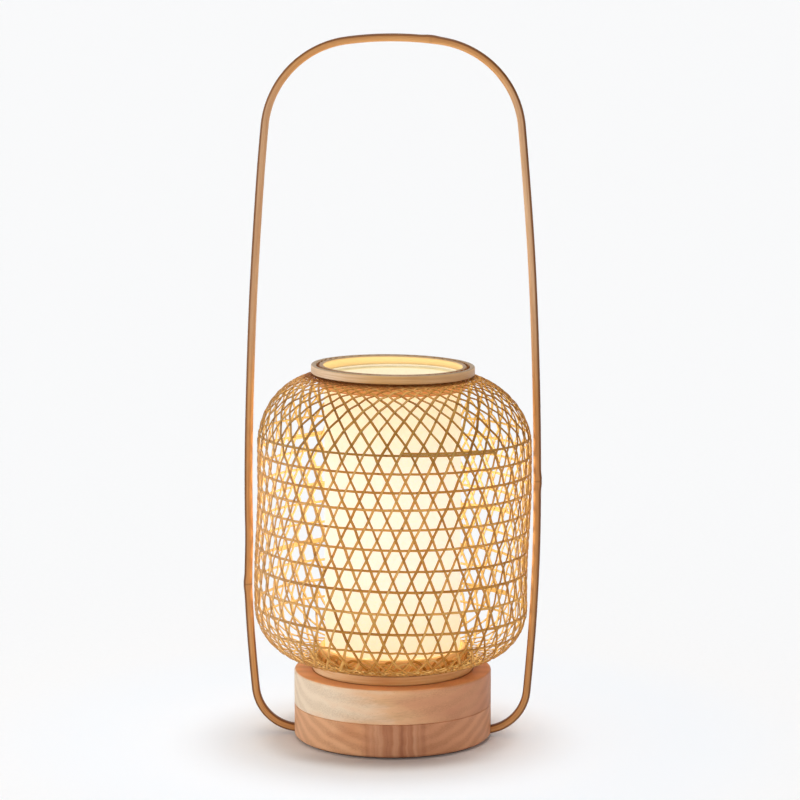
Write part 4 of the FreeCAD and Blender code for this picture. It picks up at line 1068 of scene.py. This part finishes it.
def build_sleeve():
    """A rolled sheet with a folded hem at both ends."""
    outside = SLEEVE_HIGH.x
    low, high = SLEEVE_LOW.z, SLEEVE_HIGH.z
    levels = [low, low + 0.6 * MM, low + SLEEVE_HEM - 0.5 * MM, low + SLEEVE_HEM]
    levels += list(np.linspace(low + SLEEVE_HEM, high - SLEEVE_HEM, 30)[1:-1])
    levels += [high - SLEEVE_HEM, high - SLEEVE_HEM + 0.5 * MM, high - 0.6 * MM, high]
    levels = np.array(levels)
    in_hem = (levels < low + SLEEVE_HEM - 0.2 * MM) | (levels > high - SLEEVE_HEM + 0.2 * MM)
    angle = np.arange(SLEEVE_TURNS) / SLEEVE_TURNS * TAU
    ripple = 0.12 * MM * np.sin(3 * angle + 0.4) * np.cos(levels[:, None] / 0.07) - 0.15 * MM
    outer = outside - np.where(in_hem, 0.0, 0.25 * MM)[:, None] + ripple
    inner = outside - SLEEVE_WALL - np.where(in_hem, 0.1 * MM, 0.0)[:, None] + ripple
    rows = [outer[i] for i in range(len(levels))] + [inner[i] for i in reversed(range(len(levels)))]
    heights = np.concatenate([levels, levels[::-1]])
    rows = np.array(rows)
    rings = np.stack([rows * np.sin(angle), rows * -np.cos(angle),
                      np.broadcast_to(heights[:, None], rows.shape)], axis=2)
    lofts = Lofts("inner")
    is_inner = np.arange(len(rows)) >= len(levels)
    lofts.add(rings, closed=True, inner=is_inner[:, None])
    new_piece("sleeve_sheet", lofts.mesh("sleeve_sheet"), sleeve_material(), "diffuser", "diffuser_sheet",
              "diffuser_sleeve")


# ---- floor, light and camera

def build_floor():
    net = Finish("floor_white")
    fine = net.noise(net.place(), scale=220.0, detail=3.0)
    colour = net.ramp(fine, (0.3, (0.925, 0.925, 0.925)), (0.7, (0.94, 0.94, 0.94)))
    reach = reach_from_axis(net)
    # painted light: a cooler tint round the lamp cancels the warm light the lamp and its wood throw on the
    # floor
    nearby = net.times(net.between(reach, 0.08, 0.16), net.between(reach, 0.22, 0.36, 1.0, 0.0))
    colour = net.blend(nearby, colour, (0.9, 0.93, 0.96))
    front = net.between(net.coordinates()[1], -0.05, -0.085)
    shaded = net.times(front, net.between(reach, 0.078, 0.118, 0.45, 0.0))
    colour = net.blend(shaded, colour, (0.34, 0.25, 0.2))
    net.shade(Base_Color=colour, Roughness=net.between(fine, 0.3, 0.7, 0.85, 0.95),
              Specular_IOR_Level=0.1)
    mesh = bpy.data.meshes.new("floor")
    turns = [k * TAU / FLOOR_SIDES for k in range(FLOOR_SIDES)]
    rim = [(FLOOR_RADIUS * math.cos(turn), FLOOR_RADIUS * math.sin(turn), 0.0) for turn in turns]
    mesh.from_pydata(rim, [], [tuple(range(FLOOR_SIDES))])
    mesh.materials.append(net.material)
    placed("floor", mesh)


def light_source(name, kind, energy, colour):
    light = bpy.data.lights.new(name, kind)
    light.energy = energy
    light.color = colour
    return placed(name, light)


def build_surroundings():
    """White surroundings, brighter near the horizon and on the left, behind a plain backdrop."""
    world = bpy.data.worlds.new("studio")
    bpy.context.scene.world = world
    net = Nodes(world)
    net.tree.nodes.clear()
    way = net.add("TexCoord").outputs["Generated"]
    fill_from = Vector(FILL_FROM).normalized()
    towards = net.add("VectorMath", {0: way, 1: fill_from}, operation="DOT_PRODUCT").outputs["Value"]
    fill = net.add("MapRange", {"Value": towards, "From Min": -1.0, "From Max": 1.0,
                                "To Min": FILL_RANGE[0], "To Max": FILL_RANGE[1]})
    steepness = net.math("ABSOLUTE", net.split(way)[2])
    level = net.between(steepness, *FILL_LEVELS, 1.0, FILL_OVERHEAD)
    around = net.add("Background", {"Strength": net.times(fill.outputs["Result"], level)})
    backdrop = net.add("Background", {"Color": (*BACKDROP, 1.0)})
    seen = net.add("LightPath").outputs["Is Camera Ray"]
    mix = net.add("MixShader", {0: seen, 1: around.outputs[0], 2: backdrop.outputs[0]})
    net.add("OutputWorld", {"Surface": mix.outputs[0]})


def passed_by(name, *members):
    """A collection that keeps its members out of a light's reach."""
    collection = bpy.data.collections.new(name)
    for member in members:
        collection.objects.link(bpy.data.objects[member])
    for member in collection.collection_objects:
        member.light_linking.link_state = "EXCLUDE"
    return collection


def build_light():
    """Surroundings, a soft light overhead, and the lamp's own light, which the sleeve lets out."""
    build_surroundings()
    key = light_source("overhead", "SUN", KEY_ENERGY, KEY_COLOUR)
    key.data.angle = KEY_ANGLE
    key.rotation_euler = (-Vector(KEY_FROM)).to_track_quat("-Z", "Y").to_euler()
    key.light_linking.blocker_collection = passed_by("lets_overhead_light_by", "handle_bamboo")
    blockers = passed_by("lets_lamp_light_out", "sleeve_sheet", "bulb_globe", "hoop_lower_inner")
    receivers = passed_by("left_unlit_by_lamp", "sleeve_sheet", "bulb_globe", "floor",
                          "diffuser_upper_wire", "diffuser_lower_wire")
    glow = passed_by("left_unlit_by_sleeve", "floor")
    bpy.data.objects["sleeve_sheet"].light_linking.receiver_collection = glow
    for k in range(LAMP_LIGHTS):
        height = SLEEVE_LOW.z + (SLEEVE_HIGH.z - SLEEVE_LOW.z) * (k + 0.5) / LAMP_LIGHTS
        lamp = light_source(f"lamp_{k}", "POINT", LAMP_ENERGY, LAMP_COLOUR)
        lamp.data.shadow_soft_size = LAMP_SIZE
        lamp.location = (0.0, 0.0, height)
        lamp.visible_camera = False
        lamp.light_linking.receiver_collection = receivers
        lamp.light_linking.blocker_collection = blockers


def build_camera():
    camera = bpy.data.cameras.new("camera")
    camera.lens = CAMERA_LENS
    camera.sensor_width = 36.0
    camera.clip_end = CAMERA_REACH
    viewer = placed("camera", camera)
    viewer.location = (CAMERA_DISTANCE * math.sin(CAMERA_AZIMUTH),
                       -CAMERA_DISTANCE * math.cos(CAMERA_AZIMUTH), CAMERA_HEIGHT)
    viewer.rotation_euler = Euler((math.pi / 2 - CAMERA_PITCH, 0.0, CAMERA_AZIMUTH - CAMERA_ASIDE))
    bpy.context.scene.camera = viewer


bpy.context.scene.view_settings.view_transform = "Standard"
paint_frame()
build_weave()
build_hoops()
build_handle()
build_sleeve()
build_hem()
build_floor()
build_light()
build_camera()
